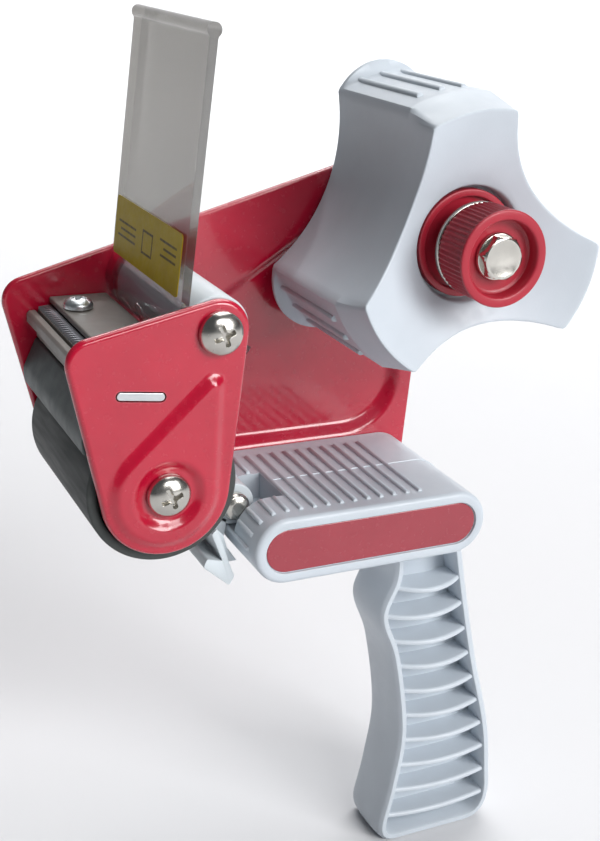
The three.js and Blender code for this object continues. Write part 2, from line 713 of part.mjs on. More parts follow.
function brake() {
  const bore = HUB_BOLT_RADIUS + GAP;
  const floor = DISH_FLOOR - GAP;
  const cup = tube(CUP_RADIUS, bore, floor - CUP_FLOOR, floor, HUB, 36)
    .add(tube(CUP_RADIUS, CUP_RADIUS - CUP_WALL, CUP_NEAR, floor, HUB, 36));
  piece("brake_cup", cup, KNOB_RED);
  const wire = 0.5;
  const springNear = WASHER_FAR + GAP + wire;
  const springFar = floor - CUP_FLOOR - GAP - wire;
  piece("brake_spring", coil(7.5, wire, 3, springNear, springFar, HUB), STEEL);
  piece("brake_washer", tube(WASHER_RADIUS, bore, KNOB_FAR + GAP, WASHER_FAR, HUB, 32), NICKEL);
  const teeth = 28;
  const points = [];
  for (let i = 0; i < 2 * teeth; i += 1) {
    const turn = (i * Math.PI) / teeth;
    const radius = i % 2 === 0 ? KNOB_RADIUS : KNOB_RADIUS - KNOB_TOOTH;
    points.push([radius * Math.cos(turn), radius * Math.sin(turn)]);
  }
  const knob = slab(polygon(points), KNOB_NEAR, KNOB_FAR)
    .subtract(rod(KNOB_CUP_RADIUS, KNOB_NEAR - 1, BOLT_HEAD_SEAT + GAP, HUB, 28))
    .subtract(rod(bore, KNOB_NEAR - 1, KNOB_FAR + 1, HUB, 24));
  piece("brake_knob", knob, KNOB_RED);
}

sideFrame();
nearSidePlate();
frontCover();
bladeHolder();
cuttingBlade();
bladeClamp();
axle("roller", ROLLER);
roller();
axle("guide", GUIDE);
guideRoller();
flapSpring();
clearFlap();
handle();
lever();
hub();
hubBolt();
brake();

const extent = new THREE.Box3().setFromObject(object);
const middle = extent.getCenter(new THREE.Vector3());
object.position.set(-middle.x, -middle.y, -extent.min.z);

export default object;
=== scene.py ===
"""Looks of the packing tape dispenser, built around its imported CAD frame.

Shapes are in millimetres in the tool's own frame: the hub's axis runs along Y through x = 0, z = 0,
and y = 0 is the side frame's inner face. place() turns such a point into metres in the row's frame.
"""

import json
import math

import bmesh
import bpy
import numpy as np
from mathutils import Matrix, Vector
from mathutils.geometry import delaunay_2d_cdt


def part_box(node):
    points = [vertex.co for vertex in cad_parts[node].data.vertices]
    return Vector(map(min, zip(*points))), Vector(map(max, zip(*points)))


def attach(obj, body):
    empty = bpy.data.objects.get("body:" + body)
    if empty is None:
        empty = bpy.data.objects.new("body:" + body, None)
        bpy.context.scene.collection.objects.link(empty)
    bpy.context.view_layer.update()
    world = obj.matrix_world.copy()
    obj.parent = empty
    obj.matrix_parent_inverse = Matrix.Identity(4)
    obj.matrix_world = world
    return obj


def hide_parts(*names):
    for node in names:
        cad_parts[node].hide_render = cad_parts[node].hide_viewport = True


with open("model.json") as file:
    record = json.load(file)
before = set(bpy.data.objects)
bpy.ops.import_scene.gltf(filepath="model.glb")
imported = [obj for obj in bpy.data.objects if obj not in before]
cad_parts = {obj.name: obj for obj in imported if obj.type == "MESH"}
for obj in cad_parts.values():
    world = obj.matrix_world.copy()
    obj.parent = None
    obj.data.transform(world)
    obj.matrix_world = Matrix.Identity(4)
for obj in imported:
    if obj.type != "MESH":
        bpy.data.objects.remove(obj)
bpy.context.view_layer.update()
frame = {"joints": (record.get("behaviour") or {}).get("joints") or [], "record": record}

MM = 0.001
TAU = 2 * math.pi
GAP = 0.3
SHEET = 1.6
WIDTH = 54.2
NEAR_IN = -WIDTH
NEAR_OUT = -WIDTH - SHEET

JOINT_AT = {joint["name"]: Vector(joint["pos_m"]) for joint in frame["joints"]}
ORIGIN = Vector(JOINT_AT["hub_spin"])
ORIGIN.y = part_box("near_side_plate")[0].y - NEAR_OUT * MM


def own(joint):
    """The [x, z] of a joint's axis in the tool's own frame, in millimetres."""
    offset = (JOINT_AT[joint] - ORIGIN) / MM
    return (offset.x, offset.z)


HUB = own("hub_spin")
ROLLER = own("roller_spin")
GUIDE = own("flap_swing")
LEVER = own("lever_swing")


def place(x, y, z):
    return ORIGIN + Vector((x, y, z)) * MM


def polar(centre, radius, turn):
    """The [x, z] at a distance and an angle from a centre."""
    return (centre[0] + radius * math.cos(turn), centre[1] + radius * math.sin(turn))


def arc(centre, radius, start, end, count):
    """Points along an arc between two angles in degrees."""
    return [polar(centre, radius, math.radians(start + (end - start) * k / count)) for k in range(count + 1)]


def disc(x, z, radius, count=48):
    return [polar((x, z), radius, TAU * k / count) for k in range(count)]


# ---- meshes


def add_object(name, data):
    obj = bpy.data.objects.new(name, data)
    bpy.context.collection.objects.link(obj)
    return obj


def sharpen(mesh, angle):
    """Edges sharper than the angle, in degrees, stay crisp."""
    mesh.set_sharp_from_angle(angle=math.radians(angle))


def make_object(name, points, faces, sharp=32):
    """A closed mesh object from points in millimetres."""
    mesh = bpy.data.meshes.new(name)
    mesh.from_pydata([place(*p) for p in points], [], faces)
    tidy = bmesh.new()
    tidy.from_mesh(mesh)
    bmesh.ops.remove_doubles(tidy, verts=tidy.verts, dist=1e-6)
    bmesh.ops.recalc_face_normals(tidy, faces=tidy.faces)
    if tidy.calc_volume(signed=True) < 0:
        bmesh.ops.reverse_faces(tidy, faces=tidy.faces)
    tidy.to_mesh(mesh)
    tidy.free()
    mesh.shade_smooth()
    sharpen(mesh, sharp)
    return add_object(name, mesh)


def join(name, parts):
    """Several mesh objects as one."""
    whole = bmesh.new()
    for part in parts:
        whole.from_mesh(part.data)
        bpy.data.objects.remove(part)
    mesh = bpy.data.meshes.new(name)
    whole.to_mesh(mesh)
    whole.free()
    return add_object(name, mesh)


def soften(obj, width, segments=3, angle=30):
    """Rounds an object's sharp edges."""
    bevel = obj.modifiers.new("edges", "BEVEL")
    bevel.width = width * MM
    bevel.segments = segments
    bevel.limit_method = "ANGLE"
    bevel.angle_limit = math.radians(angle)
    bevel.harden_normals = True
    return obj


def carve(obj, cutters):
    """Cuts closed objects out of another one and deletes them."""
    for cutter in cutters:
        cut = obj.modifiers.new("cut", "BOOLEAN")
        cut.object = cutter
        cut.operation = "DIFFERENCE"
        cut.solver = "EXACT"
    bpy.context.view_layer.update()
    result = obj.evaluated_get(bpy.context.evaluated_depsgraph_get())
    obj.data = bpy.data.meshes.new_from_object(result)
    obj.modifiers.clear()
    sharpen(obj.data, 32)
    for cutter in cutters:
        bpy.data.objects.remove(cutter)
    return obj


def tangent_outline(circles, grow=0.0, step=6.0):
    """The outline round a ring of (x, z, radius) circles, listed anticlockwise."""
    sides = []
    for (x0, z0, r0), (x1, z1, r1) in zip(circles, circles[1:] + circles[:1]):
        lean = math.asin((r0 - r1) / math.hypot(x1 - x0, z1 - z0))
        sides.append(math.atan2(z1 - z0, x1 - x0) - math.pi / 2 + lean)
    points = []
    for i, (x, z, radius) in enumerate(circles):
        start = sides[i - 1]
        sweep = (sides[i] - start) % TAU
        count = max(2, round(math.degrees(sweep) / step))
        points += [polar((x, z), radius + grow, start + sweep * k / count) for k in range(count + 1)]
    return points


def fillet(profile, radius, steps, closed):
    """A polyline, open or closed, with its corners rounded."""
    result = []
    for i, corner in enumerate(profile):
        if not closed and i in (0, len(profile) - 1):
            result.append(corner)
            continue
        here = Vector(corner)
        back = Vector(profile[i - 1]) - here
        ahead = Vector(profile[(i + 1) % len(profile)]) - here
        reach = min(radius, back.length * 0.45, ahead.length * 0.45)
        start = here + back.normalized() * reach
        end = here + ahead.normalized() * reach
        for t in (k / steps for k in range(steps + 1)):
            result.append(tuple(start * (1 - t) ** 2 + here * 2 * t * (1 - t) + end * t**2))
    return result


def lathe(name, profile, axis, segments, round_by=0.25, closed=False):
    """A profile of (radius, y) turned about a Y axis. Corners are rounded first."""
    outline = fillet(profile, round_by, 4, closed)
    rings = []
    points = []
    for radius, y in outline:
        count = segments if radius > 1e-6 else 1
        start = len(points)
        points += level(disc(*axis, radius, count), y)
        rings.append([start + k % count for k in range(segments)])
    faces = []
    for low, high in zip(rings, rings[1:] + rings[:1] * closed):
        for k in range(segments):
            n = (k + 1) % segments
            faces.append(tuple(dict.fromkeys((low[k], low[n], high[n], high[k]))))
    return make_object(name, points, [face for face in faces if len(face) > 2])


def ring(name, outer, inner, near, far, axis, segments, round_by=0.25):
    profile = [(inner, near), (outer, near), (outer, far), (inner, far)]
    return lathe(name, profile, axis, segments, round_by, closed=True)


def loft(name, loops, closed=False, sharp=32):
    """Loops of the same number of points, joined one to the next. The ends are filled in, or joined."""
    count = len(loops[0])
    points = [p for loop in loops for p in loop]
    faces = []
    for i in range(len(loops) if closed else len(loops) - 1):
        here, ahead = i * count, (i + 1) % len(loops) * count
        for k in range(count):
            n = (k + 1) % count
            faces.append((here + k, here + n, ahead + n, ahead + k))
    if not closed:
        faces.append(tuple(reversed(range(count))))
        faces.append(tuple(range(len(points) - count, len(points))))
    return make_object(name, points, faces, sharp)


def level(outline, y):
    """An [x, z] outline as a loop at one y."""
    return [(x, y, z) for x, z in outline]


def slab(name, outline, near, far, sharp=32):
    """An [x, z] outline carried along Y."""
    count = len(outline)
    faces = [tuple(range(count)), tuple(reversed(range(count, 2 * count)))]
    faces += [(i, (i + 1) % count, (i + 1) % count + count, i + count) for i in range(count)]
    return make_object(name, level(outline, near) + level(outline, far), faces, sharp)


def block(name, x, y, z):
    return slab(name, [(x[0], z[0]), (x[1], z[0]), (x[1], z[1]), (x[0], z[1])], *y)


def radial_loop(axis, y, reach_at, segments, start=0.0):
    """A loop round a Y axis. Its reach is a function of the angle from its start."""
    loop = []
    for turn in (TAU * k / segments for k in range(segments)):
        x, z = polar(axis, reach_at(turn), turn + start)
        loop.append((x, y, z))
    return loop


def smooth_step(low, high, value):
    t = np.clip((value - low) / (high - low), 0, 1)
    return t * t * (3 - 2 * t)


def rounded_ramp(low, high, value):
    """A straight slope from 0 to 1 whose two ends are rounded."""
    share = 0.35
    t = np.clip((value - low) / (high - low), 0, 1)
    straight = 1 / (1 - share)
    foot = straight * t * t / (2 * share)
    top = 1 - straight * (1 - t) ** 2 / (2 * share)
    return np.where(t < share, foot, np.where(t > 1 - share, top, straight * (t - share / 2)))


def depth_in_outline(points, outline):
    """How far inside a closed outline each point is, negative outside."""
    x, z = np.asarray(points, float).T
    nearest = np.full(len(x), 1e9)
    inside = np.zeros(len(x), bool)
    for (ax, az), (bx, bz) in zip(outline, outline[1:] + outline[:1]):
        ex, ez = bx - ax, bz - az
        t = np.clip(((x - ax) * ex + (z - az) * ez) / max(ex * ex + ez * ez, 1e-12), 0, 1)
        nearest = np.minimum(nearest, np.hypot(x - ax - t * ex, z - az - t * ez))
        crosses = (az > z) != (bz > z)
        inside ^= crosses & (x < ax + (z - az) * ex / (ez if abs(ez) > 1e-12 else 1e-12))
    return np.where(inside, nearest, -nearest)


def staggered_grid(outline, pitch):
    """Points in staggered rows over an outline's box."""
    xs, zs = zip(*outline)
    row_share = 0.87
    grid = []
    for row in range(int((max(zs) - min(zs)) / (pitch * row_share))):
        z = min(zs) + (row + 0.5) * pitch * row_share
        shift = 0.5 * (row % 2) + 0.25
        for column in range(int((max(xs) - min(xs)) / pitch)):
            grid.append((min(xs) + (column + shift) * pitch, z))
    return grid


def rim_walls(faces, count):
    """Walls between a sheet's two faces, along the edges that belong to only one triangle."""
    edges = {}
    for face in faces:
        for a, b in zip(face, face[1:] + face[:1]):
            edges.setdefault(frozenset((a, b)), []).append((a, b))
    single = [pairs[0] for pairs in edges.values() if len(pairs) == 1]
    return [(b, a, a + count, b + count) for a, b in single]


def pressed_plate(name, circles, holes, height, front, pitch, rim):
    """Sheet metal pressed to a height field. circles give its outline, holes are closed outlines,
    height(points) is how far each point stands out of the front face, towards the near side."""
    loops = [tangent_outline(circles, -inset, 4.0) for inset in (0, 0.3 * rim, 0.65 * rim, rim)]
    drops = [rim, 0.35 * rim, 0.08 * rim, 0.0]
    coords, edges, drop = [], [], []
    for loop, lowered in list(zip(loops, drops)) + [(hole, 0.0) for hole in holes]:
        start = len(coords)
        coords += loop
        drop += [lowered] * len(loop)
        edges += [(start + k, start + (k + 1) % len(loop)) for k in range(len(loop))]
    grid = staggered_grid(loops[0], pitch)
    margin = pitch * 0.35
    keep = depth_in_outline(grid, loops[-1]) > margin
    for hole in holes:
        keep &= depth_in_outline(grid, hole) < -margin
    coords += [p for p, wanted in zip(grid, keep) if wanted]
    verts, _, faces, origins, _, _ = delaunay_2d_cdt([Vector(c) for c in coords], edges, [], 1, 1e-5)
    lowered = np.array([drop[o[0]] if o and o[0] < len(drop) else 0.0 for o in origins])
    flat = np.array([tuple(v) for v in verts])
    middles = [flat[list(face)].mean(axis=0) for face in faces]
    solid = depth_in_outline(middles, loops[0]) > 0
    for hole in holes:
        solid &= depth_in_outline(middles, hole) < 0
    faces = [tuple(face) for face, wanted in zip(faces, solid) if wanted]
    stand = height(flat)
    count = len(flat)
    points = [(x, y, z) for (x, z), y in zip(flat, front - (stand - lowered))]
    points += [(x, y, z) for (x, z), y in zip(flat, front - (stand - SHEET))]
    backs = [tuple(i + count for i in reversed(face)) for face in faces]
    return make_object(name, points, faces + backs + rim_walls(faces, count), 50)


def spring(name, radius, wire, turns, near, far, axis):
    """A coil of round wire about a Y axis."""
    steps = int(turns * 40)
    loops = []
    for i in range(steps + 1):
        y = near + (far - near) * i / steps
        loop = []
        for reach, up in disc(radius, y, wire, 12):
            x, z = polar(axis, reach, TAU * turns * i / steps)
            loop.append((x, up, z))
        loops.append(loop)
    return loft(name, loops)


# ---- materials


class Shader:
    """One procedural material: a Principled shader and the nodes that feed it."""

    def __init__(self, name, color, roughness, metallic=0.0):
        self.name = name
        self.color = color
        self.material = bpy.data.materials.new(name)
        self.material.use_nodes = True
        self.nodes = self.material.node_tree.nodes
        self.links = self.material.node_tree.links
        self.main = self.nodes["Principled BSDF"]
        self.set(Base_Color=(*color, 1), Roughness=roughness, Metallic=metallic)
        self.place = self.node("TexCoord").outputs["Object"]

    def give(self, socket, value):
        """An input takes another node's output, or a number or a colour."""
        if isinstance(value, bpy.types.NodeSocket):
            self.links.new(value, socket)
        else:
            socket.default_value = value

    def feed(self, node, **values):
        for name, value in values.items():
            self.give(node.inputs[name.replace("_", " ")], value)
        return node

    def node(self, kind, **values):
        return self.feed(self.nodes.new("ShaderNode" + kind), **values)

    def set(self, **values):
        self.feed(self.main, **values)
        return self

    def axes(self):
        """The place on the object, split into X, Y and Z in metres."""
        return self.node("SeparateXYZ", Vector=self.place).outputs

    def noise(self, scale, detail, stretch=None):
        place = self.place
        if stretch:
            place = self.node("Mapping", Vector=place, Scale=stretch).outputs["Vector"]
        return self.node("TexNoise", Vector=place, Scale=scale, Detail=detail).outputs["Fac"]

    def ramp(self, value, low, high, out_low, out_high):
        node = self.node("MapRange", Value=value, From_Min=low, From_Max=high)
        return self.feed(node, To_Min=out_low, To_Max=out_high).outputs["Result"]

    def math(self, operation, a, b):
        node = self.node("Math")
        node.operation = operation
        self.give(node.inputs[0], a)
        self.give(node.inputs[1], b)
        return node.outputs["Value"]

    def tint(self, factor, color):
        """Mixes another colour into the base colour by a factor."""
        base = self.main.inputs["Base Color"]
        under = base.links[0].from_socket if base.is_linked else base.default_value
        node = self.node("Mix")
        node.data_type = "RGBA"
        self.feed(node, Factor=factor, A=under, B=(*color, 1))
        return self.set(Base_Color=node.outputs["Result"])

    def mottle(self, scale, darker):
        """Slow colour variation, as moulded or painted surfaces have."""
        factor = self.ramp(self.noise(scale, 4), 0.35, 0.7, 0, 1)
        return self.tint(factor, [c * darker for c in self.color])

    def edge_wear_and_highlight(self, color, amount):
        """Another colour in patches along the edges, where a rounded normal leaves the real one. It stands
        for wear and, on the red paint and the plastics, also for a painted highlight along the edges.
        """
        bevel = self.node("Bevel", Radius=0.0005)
        bevel.samples = 4
        match = self.node("VectorMath")
        match.operation = "DOT_PRODUCT"
        self.give(match.inputs[0], bevel.outputs["Normal"])
        self.give(match.inputs[1], self.node("NewGeometry").outputs["Normal"])
        edge = self.ramp(match.outputs["Value"], 0.99, 0.8, 0, amount)
        return self.tint(self.math("MULTIPLY", edge, self.noise(900, 2)), color)

    def rough(self, scale, low, high, stretch=None):
        return self.set(Roughness=self.ramp(self.noise(scale, 4, stretch), 0.3, 0.7, low, high))

    def bump(self, value, distance, strength):
        """Adds relief, in metres, to the relief that is already there."""
        node = self.node("Bump", Height=value, Distance=distance, Strength=strength)
        normal = self.main.inputs["Normal"]
        if normal.is_linked:
            self.feed(node, Normal=normal.links[0].from_socket)
        return self.set(Normal=node.outputs["Normal"])


def linear(r, g, b):
    """A screen colour, 0 to 255, as the linear values that shaders take."""
    return [((c / 255 + 0.055) / 1.055) ** 2.4 if c > 10 else c / 255 / 12.92 for c in (r, g, b)]


def painted(name, color, darker):
    look = Shader(name, color, 0.2)
    look.set(Coat_Weight=0.6, Coat_Roughness=0.06, Specular_IOR_Level=0.6)
    look.mottle(60, darker)
    look.rough(500, 0.16, 0.3)
    look.bump(look.noise(260, 3), 0.00004, 0.35)
    return look


def moulded(name, color, low=0.32, high=0.48):
    look = Shader(name, color, 0.4)
    look.mottle(45, 0.93)
    look.rough(300, low, high)
    look.bump(look.noise(2600, 2), 0.00003, 0.5)
    look.bump(look.noise(90, 2), 0.00008, 0.25)
    return look


def metal(name, color, low, high, stretch=None):
    look = Shader(name, color, low, 1.0)
    look.mottle(120, 0.86)
    look.rough(420, low, high, stretch)
    look.bump(look.noise(1400, 3, stretch), 0.00001, 0.2)
    return look


def rubber():
    look = Shader("black_rubber", linear(62, 66, 65), 0.7)
    look.mottle(80, 0.8)
    look.rough(600, 0.5, 0.72, (1, 0.1, 1))
    look.bump(look.noise(1500, 4, (1, 0.35, 1)), 0.00006, 0.5)
    return look


def clear_plastic():
    """Smoky sheet with fine scratches. Its barrel round the guide roller is tinted paler and pinkish:
    painted light that stands in for the pale roller showing through.
    """
    look = Shader("clear_plastic", linear(104, 101, 95), 0.1)
    look.set(Transmission_Weight=1.0, IOR=1.2, Specular_IOR_Level=0.2, Alpha=0.82)
    look.rough(150, 0.04, 0.14)
    scratch = look.ramp(look.noise(240, 6, (1, 12, 1)), 0.62, 0.66, 0, 1)
    look.bump(scratch, 0.00001, 0.4)
    # Painted light: up to 8 mm above the guide's axle, fading out by 13 mm, the sheet is tinted pale pink
    # for the roller seen through it.
    axle = place(0, 0, GUIDE[1]).z
    barrel = look.ramp(look.axes()["Z"], axle + 0.008, axle + 0.013, 1, 0)
    return look.tint(barrel, linear(214, 208, 212))


# Plain bars, and a frame of four thin ones, as shares of the label's width and height.
LABEL_BARS = [(0.06, 0.30, 0.70, 0.74), (0.06, 0.24, 0.58, 0.62), (0.06, 0.28, 0.46, 0.50)]
LABEL_BARS += [(0.66, 0.94, 0.58, 0.62), (0.66, 0.90, 0.46, 0.50), (0.66, 0.94, 0.34, 0.38)]
LABEL_BARS += [(0.40, 0.56, 0.30, 0.34), (0.40, 0.56, 0.66, 0.70)]
LABEL_BARS += [(0.40, 0.415, 0.30, 0.70), (0.545, 0.56, 0.30, 0.70)]


def label_film():
    """Yellow film with dark bars, none of them lettering."""
    look = Shader("yellow_label", linear(182, 156, 8), 0.45)
    look.set(Specular_IOR_Level=0.15)
    low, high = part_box("flap_label")
    axes = look.axes()

    def between(axis, start, end, a, b):
        """1 between two shares of the label's side."""
        share = look.ramp(axes[axis], start, end, 0, 1)
        return look.math("MULTIPLY", look.math("GREATER_THAN", share, a), look.math("LESS_THAN", share, b))

    ink = None
    for y0, y1, z0, z1 in LABEL_BARS:
        wide = between("Y", low.y, high.y, y0, y1)
        bar = look.math("MULTIPLY", wide, between("Z", low.z, high.z, z0, z1))
        ink = bar if ink is None else look.math("MAXIMUM", ink, bar)
    patchy = look.math("MULTIPLY", ink, look.ramp(look.noise(1200, 3), 0.2, 0.6, 0.55, 0.95))
    look.mottle(200, 0.9)
    look.tint(patchy, linear(58, 48, 10))
    look.rough(700, 0.4, 0.55)
    look.bump(look.noise(900, 3), 0.00001, 0.3)
    return look


LOOKS = [
    painted("red_paint", linear(186, 9, 48), 0.85),
    moulded("grey_plastic", linear(200, 208, 216)),
    moulded("pale_plastic", linear(204, 212, 217)),
    moulded("grey_paint", linear(124, 119, 114), 0.38, 0.5),
    moulded("slate_paint", linear(64, 74, 74), 0.42, 0.55),
    rubber(),
    moulded("black_plastic", linear(24, 24, 26)),
    moulded("red_plastic", linear(172, 30, 50), 0.28, 0.42),
    painted("red_inlay", linear(156, 40, 56), 0.92),
    metal("bright_nickel", linear(204, 201, 194), 0.17, 0.28),
    metal("zinc", linear(220, 224, 226), 0.26, 0.4),
    metal("dark_steel", linear(150, 152, 158), 0.3, 0.45, (1, 0.1, 1)),
    metal("plain_steel", linear(150, 152, 154), 0.25, 0.4, (1, 0.1, 1)),
    clear_plastic(),
    label_film(),
]
FINISHES = {look.name: look for look in LOOKS}
# Pale pink edges on the red paint: partly wear, partly a painted highlight along the edges.
FINISHES["red_paint"].edge_wear_and_highlight(linear(214, 190, 188), 0.4)
# Paler edges on the grey and slate paint: wear.
for slot in ("slate_paint", "grey_paint"):
    FINISHES[slot].edge_wear_and_highlight(linear(190, 186, 182), 0.2)
# Near-white edges on the plastics: mostly a painted highlight along the edges, partly wear.
for slot in ("grey_plastic", "pale_plastic", "red_plastic"):
    FINISHES[slot].edge_wear_and_highlight(linear(232, 236, 240), 0.4)

SLOT_OF = {entry["node"]: entry["material_slot"] for entry in frame["record"]["subparts"]}
BODIES = frame["record"]["behaviour"]["bodies"]
BODY_OF = {node: body for body, nodes in BODIES.items() for node in nodes}


def finish(obj, slot, body):
    obj.data.materials.clear()
    obj.data.materials.append(FINISHES[slot].material)
    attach(obj, body)


def stand_for(obj, *nodes):
    """A finished piece takes its node's finish and body, and the node is hidden."""
    finish(obj, SLOT_OF[nodes[0]], BODY_OF[nodes[0]])
    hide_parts(*nodes)


# ---- side plates

LOBE = (ROLLER[0], ROLLER[1], 15.6)
BLOCK_LEFT = (-47.5, -75.9)
BLOCK_RIGHT = (1.7, -75.9)
BLOCK_R = 9.0
TAB = [(-93.4, -26.7, 0.95), (-84.1, -27.8, 0.95)]
BOLT_BORE = 3.3
SCREW_BORE = 2.3
HANDLE_SCREWS = {"handle_screw_front": (-30, -75.9), "handle_screw_back": (-6, -75.9)}
PRESSING = 1.5
PAN_DEPTH = 3.0


def slot_hole():
    """The rounded slot in each plate that takes a tab of the blade holder."""
    return tangent_outline(TAB, GAP, 20)


def side_frame():
    circles = [LOBE, (*BLOCK_LEFT, BLOCK_R), (*BLOCK_RIGHT, BLOCK_R), (4.4, 5.7, 12.0), (-100.2, -19.2, 6.2)]
    pan = tangent_outline([(-45, -60.8, 6), (-8, -50, 16.8), (-2, -2, 10), (-53, -30.2, 6)])
    floor = [(-45.5, -59.6, 3.6), (-9.8, -48.4, 14.6), (-3.5, -3.8, 6.2), (-50.9, -32.6, 4.2)]
    floor = tangent_outline(floor)

    def height(points):
        outer = depth_in_outline(points, pan)
        inner = depth_in_outline(points, floor)
        share = np.clip(outer / np.maximum(outer - inner, 1e-6), 0, 1)
        share = np.where(outer <= 0, 0, np.where(inner >= 0, 1, share))
        return -PAN_DEPTH * rounded_ramp(0.0, 1.0, share)

    screws = [ROLLER, GUIDE, LEVER, *HANDLE_SCREWS.values()]
    holes = [slot_hole(), disc(*HUB, BOLT_BORE)] + [disc(*axis, SCREW_BORE, 24) for axis in screws]
    plate = pressed_plate("side_frame_plate", circles, holes, height, 0.0, 0.9, 0.7)
    stand_for(plate, "side_frame")


def near_side_plate():
    circles = [LOBE, (*GUIDE, 7.5), (-99.5, -19, 6)]
    ridge = tangent_outline([(ROLLER[0] - 0.6, ROLLER[1], 14.2), (-71.8, -26.6, 3.6)])

    def height(points):
        inside = depth_in_outline(points, ridge)
        away = np.hypot(points[:, 0] - ROLLER[0], points[:, 1] - ROLLER[1])
        return PRESSING * (rounded_ramp(0.0, 3.4, inside) - rounded_ramp(9.2, 6.0, away))

    holes = [slot_hole()] + [disc(*axis, SCREW_BORE, 24) for axis in (ROLLER, GUIDE)]
    plate = pressed_plate("near_plate", circles, holes, height, NEAR_OUT, 0.55, 1.1)
    stand_for(plate, "near_side_plate")


# ---- screws


def cross_recess(across, up, arms):
    """How deep a Phillips recess, with arms of a given length, is pressed at each point."""
    tilt, half_width = 0.35, 0.48
    a = across * math.cos(tilt) + up * math.sin(tilt)
    b = up * math.cos(tilt) - across * math.sin(tilt)
    reach = np.hypot(across, up)
    pressed = smooth_step(1.15, 0.7, reach)
    for along, aside in ((a, b), (b, a)):
        bar = smooth_step(half_width + 0.14, half_width - 0.1, np.abs(aside))
        pressed = np.maximum(pressed, bar * smooth_step(arms, arms * 0.8, np.abs(along)))
    return pressed * (1.7 - 0.4 * reach / arms)


def domed_head(name, axis, seat, away, radius, height, arms=2.7):
    """A domed Phillips head: rings of points whose middle is pressed into a cross."""
    rings, segments, lip = 60, 132, 0.5
    flat = [axis]
    for i in range(1, rings + 1):
        flat += disc(*axis, radius * i / rings, segments)
    flat = np.array(flat)
    across, up = (flat - axis).T
    share = np.hypot(across, up) / radius
    dome = lip + (height - lip) * np.sqrt(np.clip(1 - (share * 0.985) ** 2, 0, 1))
    ys = seat + away * (dome - cross_recess(across, up, arms))
    points = [(x, y, z) for (x, z), y in zip(flat, ys)]
    points += [(x, seat, z) for x, _, z in points[-segments:]]
    faces = [(0, 1 + k, 1 + (k + 1) % segments) for k in range(segments)]
    for start in range(1, 1 + rings * segments, segments):
        for k in range(segments):
            here, ahead = start + k, start + (k + 1) % segments
            faces.append((here, here + segments, ahead + segments, ahead))
    faces.append(tuple(range(len(points) - segments, len(points))))
    return make_object(name, points, faces, 60)


def screw(node, axis, seat, away, radius, height, reach):
    head = domed_head(node + "_head", axis, seat, away, radius, height)
    root = seat + away * 0.2
    shank = lathe(node + "_shank", [(0, root), (2, root), (2, reach), (0, reach)], axis, 32)
    stand_for(join(node + "_whole", [head, shank]), node)


def axles():
    near, far = NEAR_IN + GAP, -GAP
    for name, axis in (("roller", ROLLER), ("guide", GUIDE)):
        stand_for(ring(name + "_axle_rod", 3, SCREW_BORE, near, far, axis, 48), name + "_axle")
        screw(name + "_screw_near", axis, NEAR_OUT - GAP, -1, 5.2, 3.4, near + 10)
        screw(name + "_screw_far", axis, SHEET + GAP, 1, 5.2, 3.4, far - 10)


# ---- roller, guide


def roller():
    near, far = -52.6, -1.5
    sleeve = ring("roller_tube", 18.2, 15.7, near, far, ROLLER, 160, 0.7)
    stand_for(sleeve, "roller_sleeve")
    middle = ring("core_hub", 5.8, BOLT_BORE, near, far, ROLLER, 64)
    drum = ring("core_drum", 15.4, 12.9, near + 6, far - 6, ROLLER, 128, 0.5)
    disc_web = ring("core_web", 14.6, 4.3, -29.5, -24.5, ROLLER, 64)
    stand_for(join("roller_hub", [middle, drum, disc_web]), "roller_core")


def guide():
    near, far = NEAR_IN + 2 * GAP, -7.9
    parts = [ring("guide_tube", 8, 5.4, near, far, GUIDE, 96, 0.5)]
    for start, end in ((-33, -25), (near + 1, near + 4), (far - 4, far - 1)):
        parts.append(ring("guide_bush", 6, BOLT_BORE, start, end, GUIDE, 48))
    stand_for(join("guide_barrel", parts), "guide_roller")
    stand_for(spring("flap_coil", 5.5, 0.6, 3.5, -7.0, -1.2, GUIDE), "flap_spring")


# ---- flap

FLAP_LEAN = math.radians(5.8)
FLAP_THICK = 2.0
FLAP_TOP = 52.4
BARREL_IN = 8.3
BARREL_OUT = 10.2
FLAP_FRONT = 8.9
FLAP_Y = (-53.0, -1.5)


def on_flap(up, front):
    """A point of the flap: how far up the sheet from the guide's axis, and how far in front of it."""
    x = GUIDE[0] + up * math.sin(FLAP_LEAN) - front * math.cos(FLAP_LEAN)
    return (x, GUIDE[1] + up * math.cos(FLAP_LEAN) + front * math.sin(FLAP_LEAN))


def flap_sheet():
    """The flap's section, with a bead along its top and a barrel round the guide roller."""
    height = (FLAP_TOP - GUIDE[1]) / math.cos(FLAP_LEAN)
    bead = on_flap(height - 1.7, FLAP_FRONT - 1.0)
    lean = math.degrees(FLAP_LEAN)
    back = FLAP_FRONT - FLAP_THICK
    outline = [on_flap(5.0, back), on_flap(height - 3.6, back)]
    outline += arc(bead, 1.7, -50 - lean, 230 - lean, 48)
    outline += [on_flap(height - 3.8, FLAP_FRONT), on_flap(4.6, FLAP_FRONT)]
    outline += arc(GUIDE, BARREL_OUT, 156, 330, 40)
    outline += arc(GUIDE, BARREL_IN, 330, 152, 40)
    return slab("flap_sheet", outline, *FLAP_Y, sharp=8)


def flap_oval():
    """A fine raised oval on the barrel."""
    middle, wire, tilt = -31, 0.22, 0.35
    loops = []
    for along, about in ((5.0 * x, 2.2 * z) for x, z in disc(0, 0, 1.0)):
        angle = math.radians(196) + (about - tilt * along) / BARREL_OUT
        loop = []
        for out, round_by in disc(0, 0, wire, 8):
            x, z = polar(GUIDE, BARREL_OUT + out, angle + round_by / BARREL_OUT)
            loop.append((x, middle + along, z))
        loops.append(loop)
    return loft("flap_oval", loops, closed=True)


def flap():
    whole = join("flap_clear", [flap_sheet(), flap_oval()])
    stand_for(whole, "clear_flap")
    soften(whole, 0.35, 3, 40)


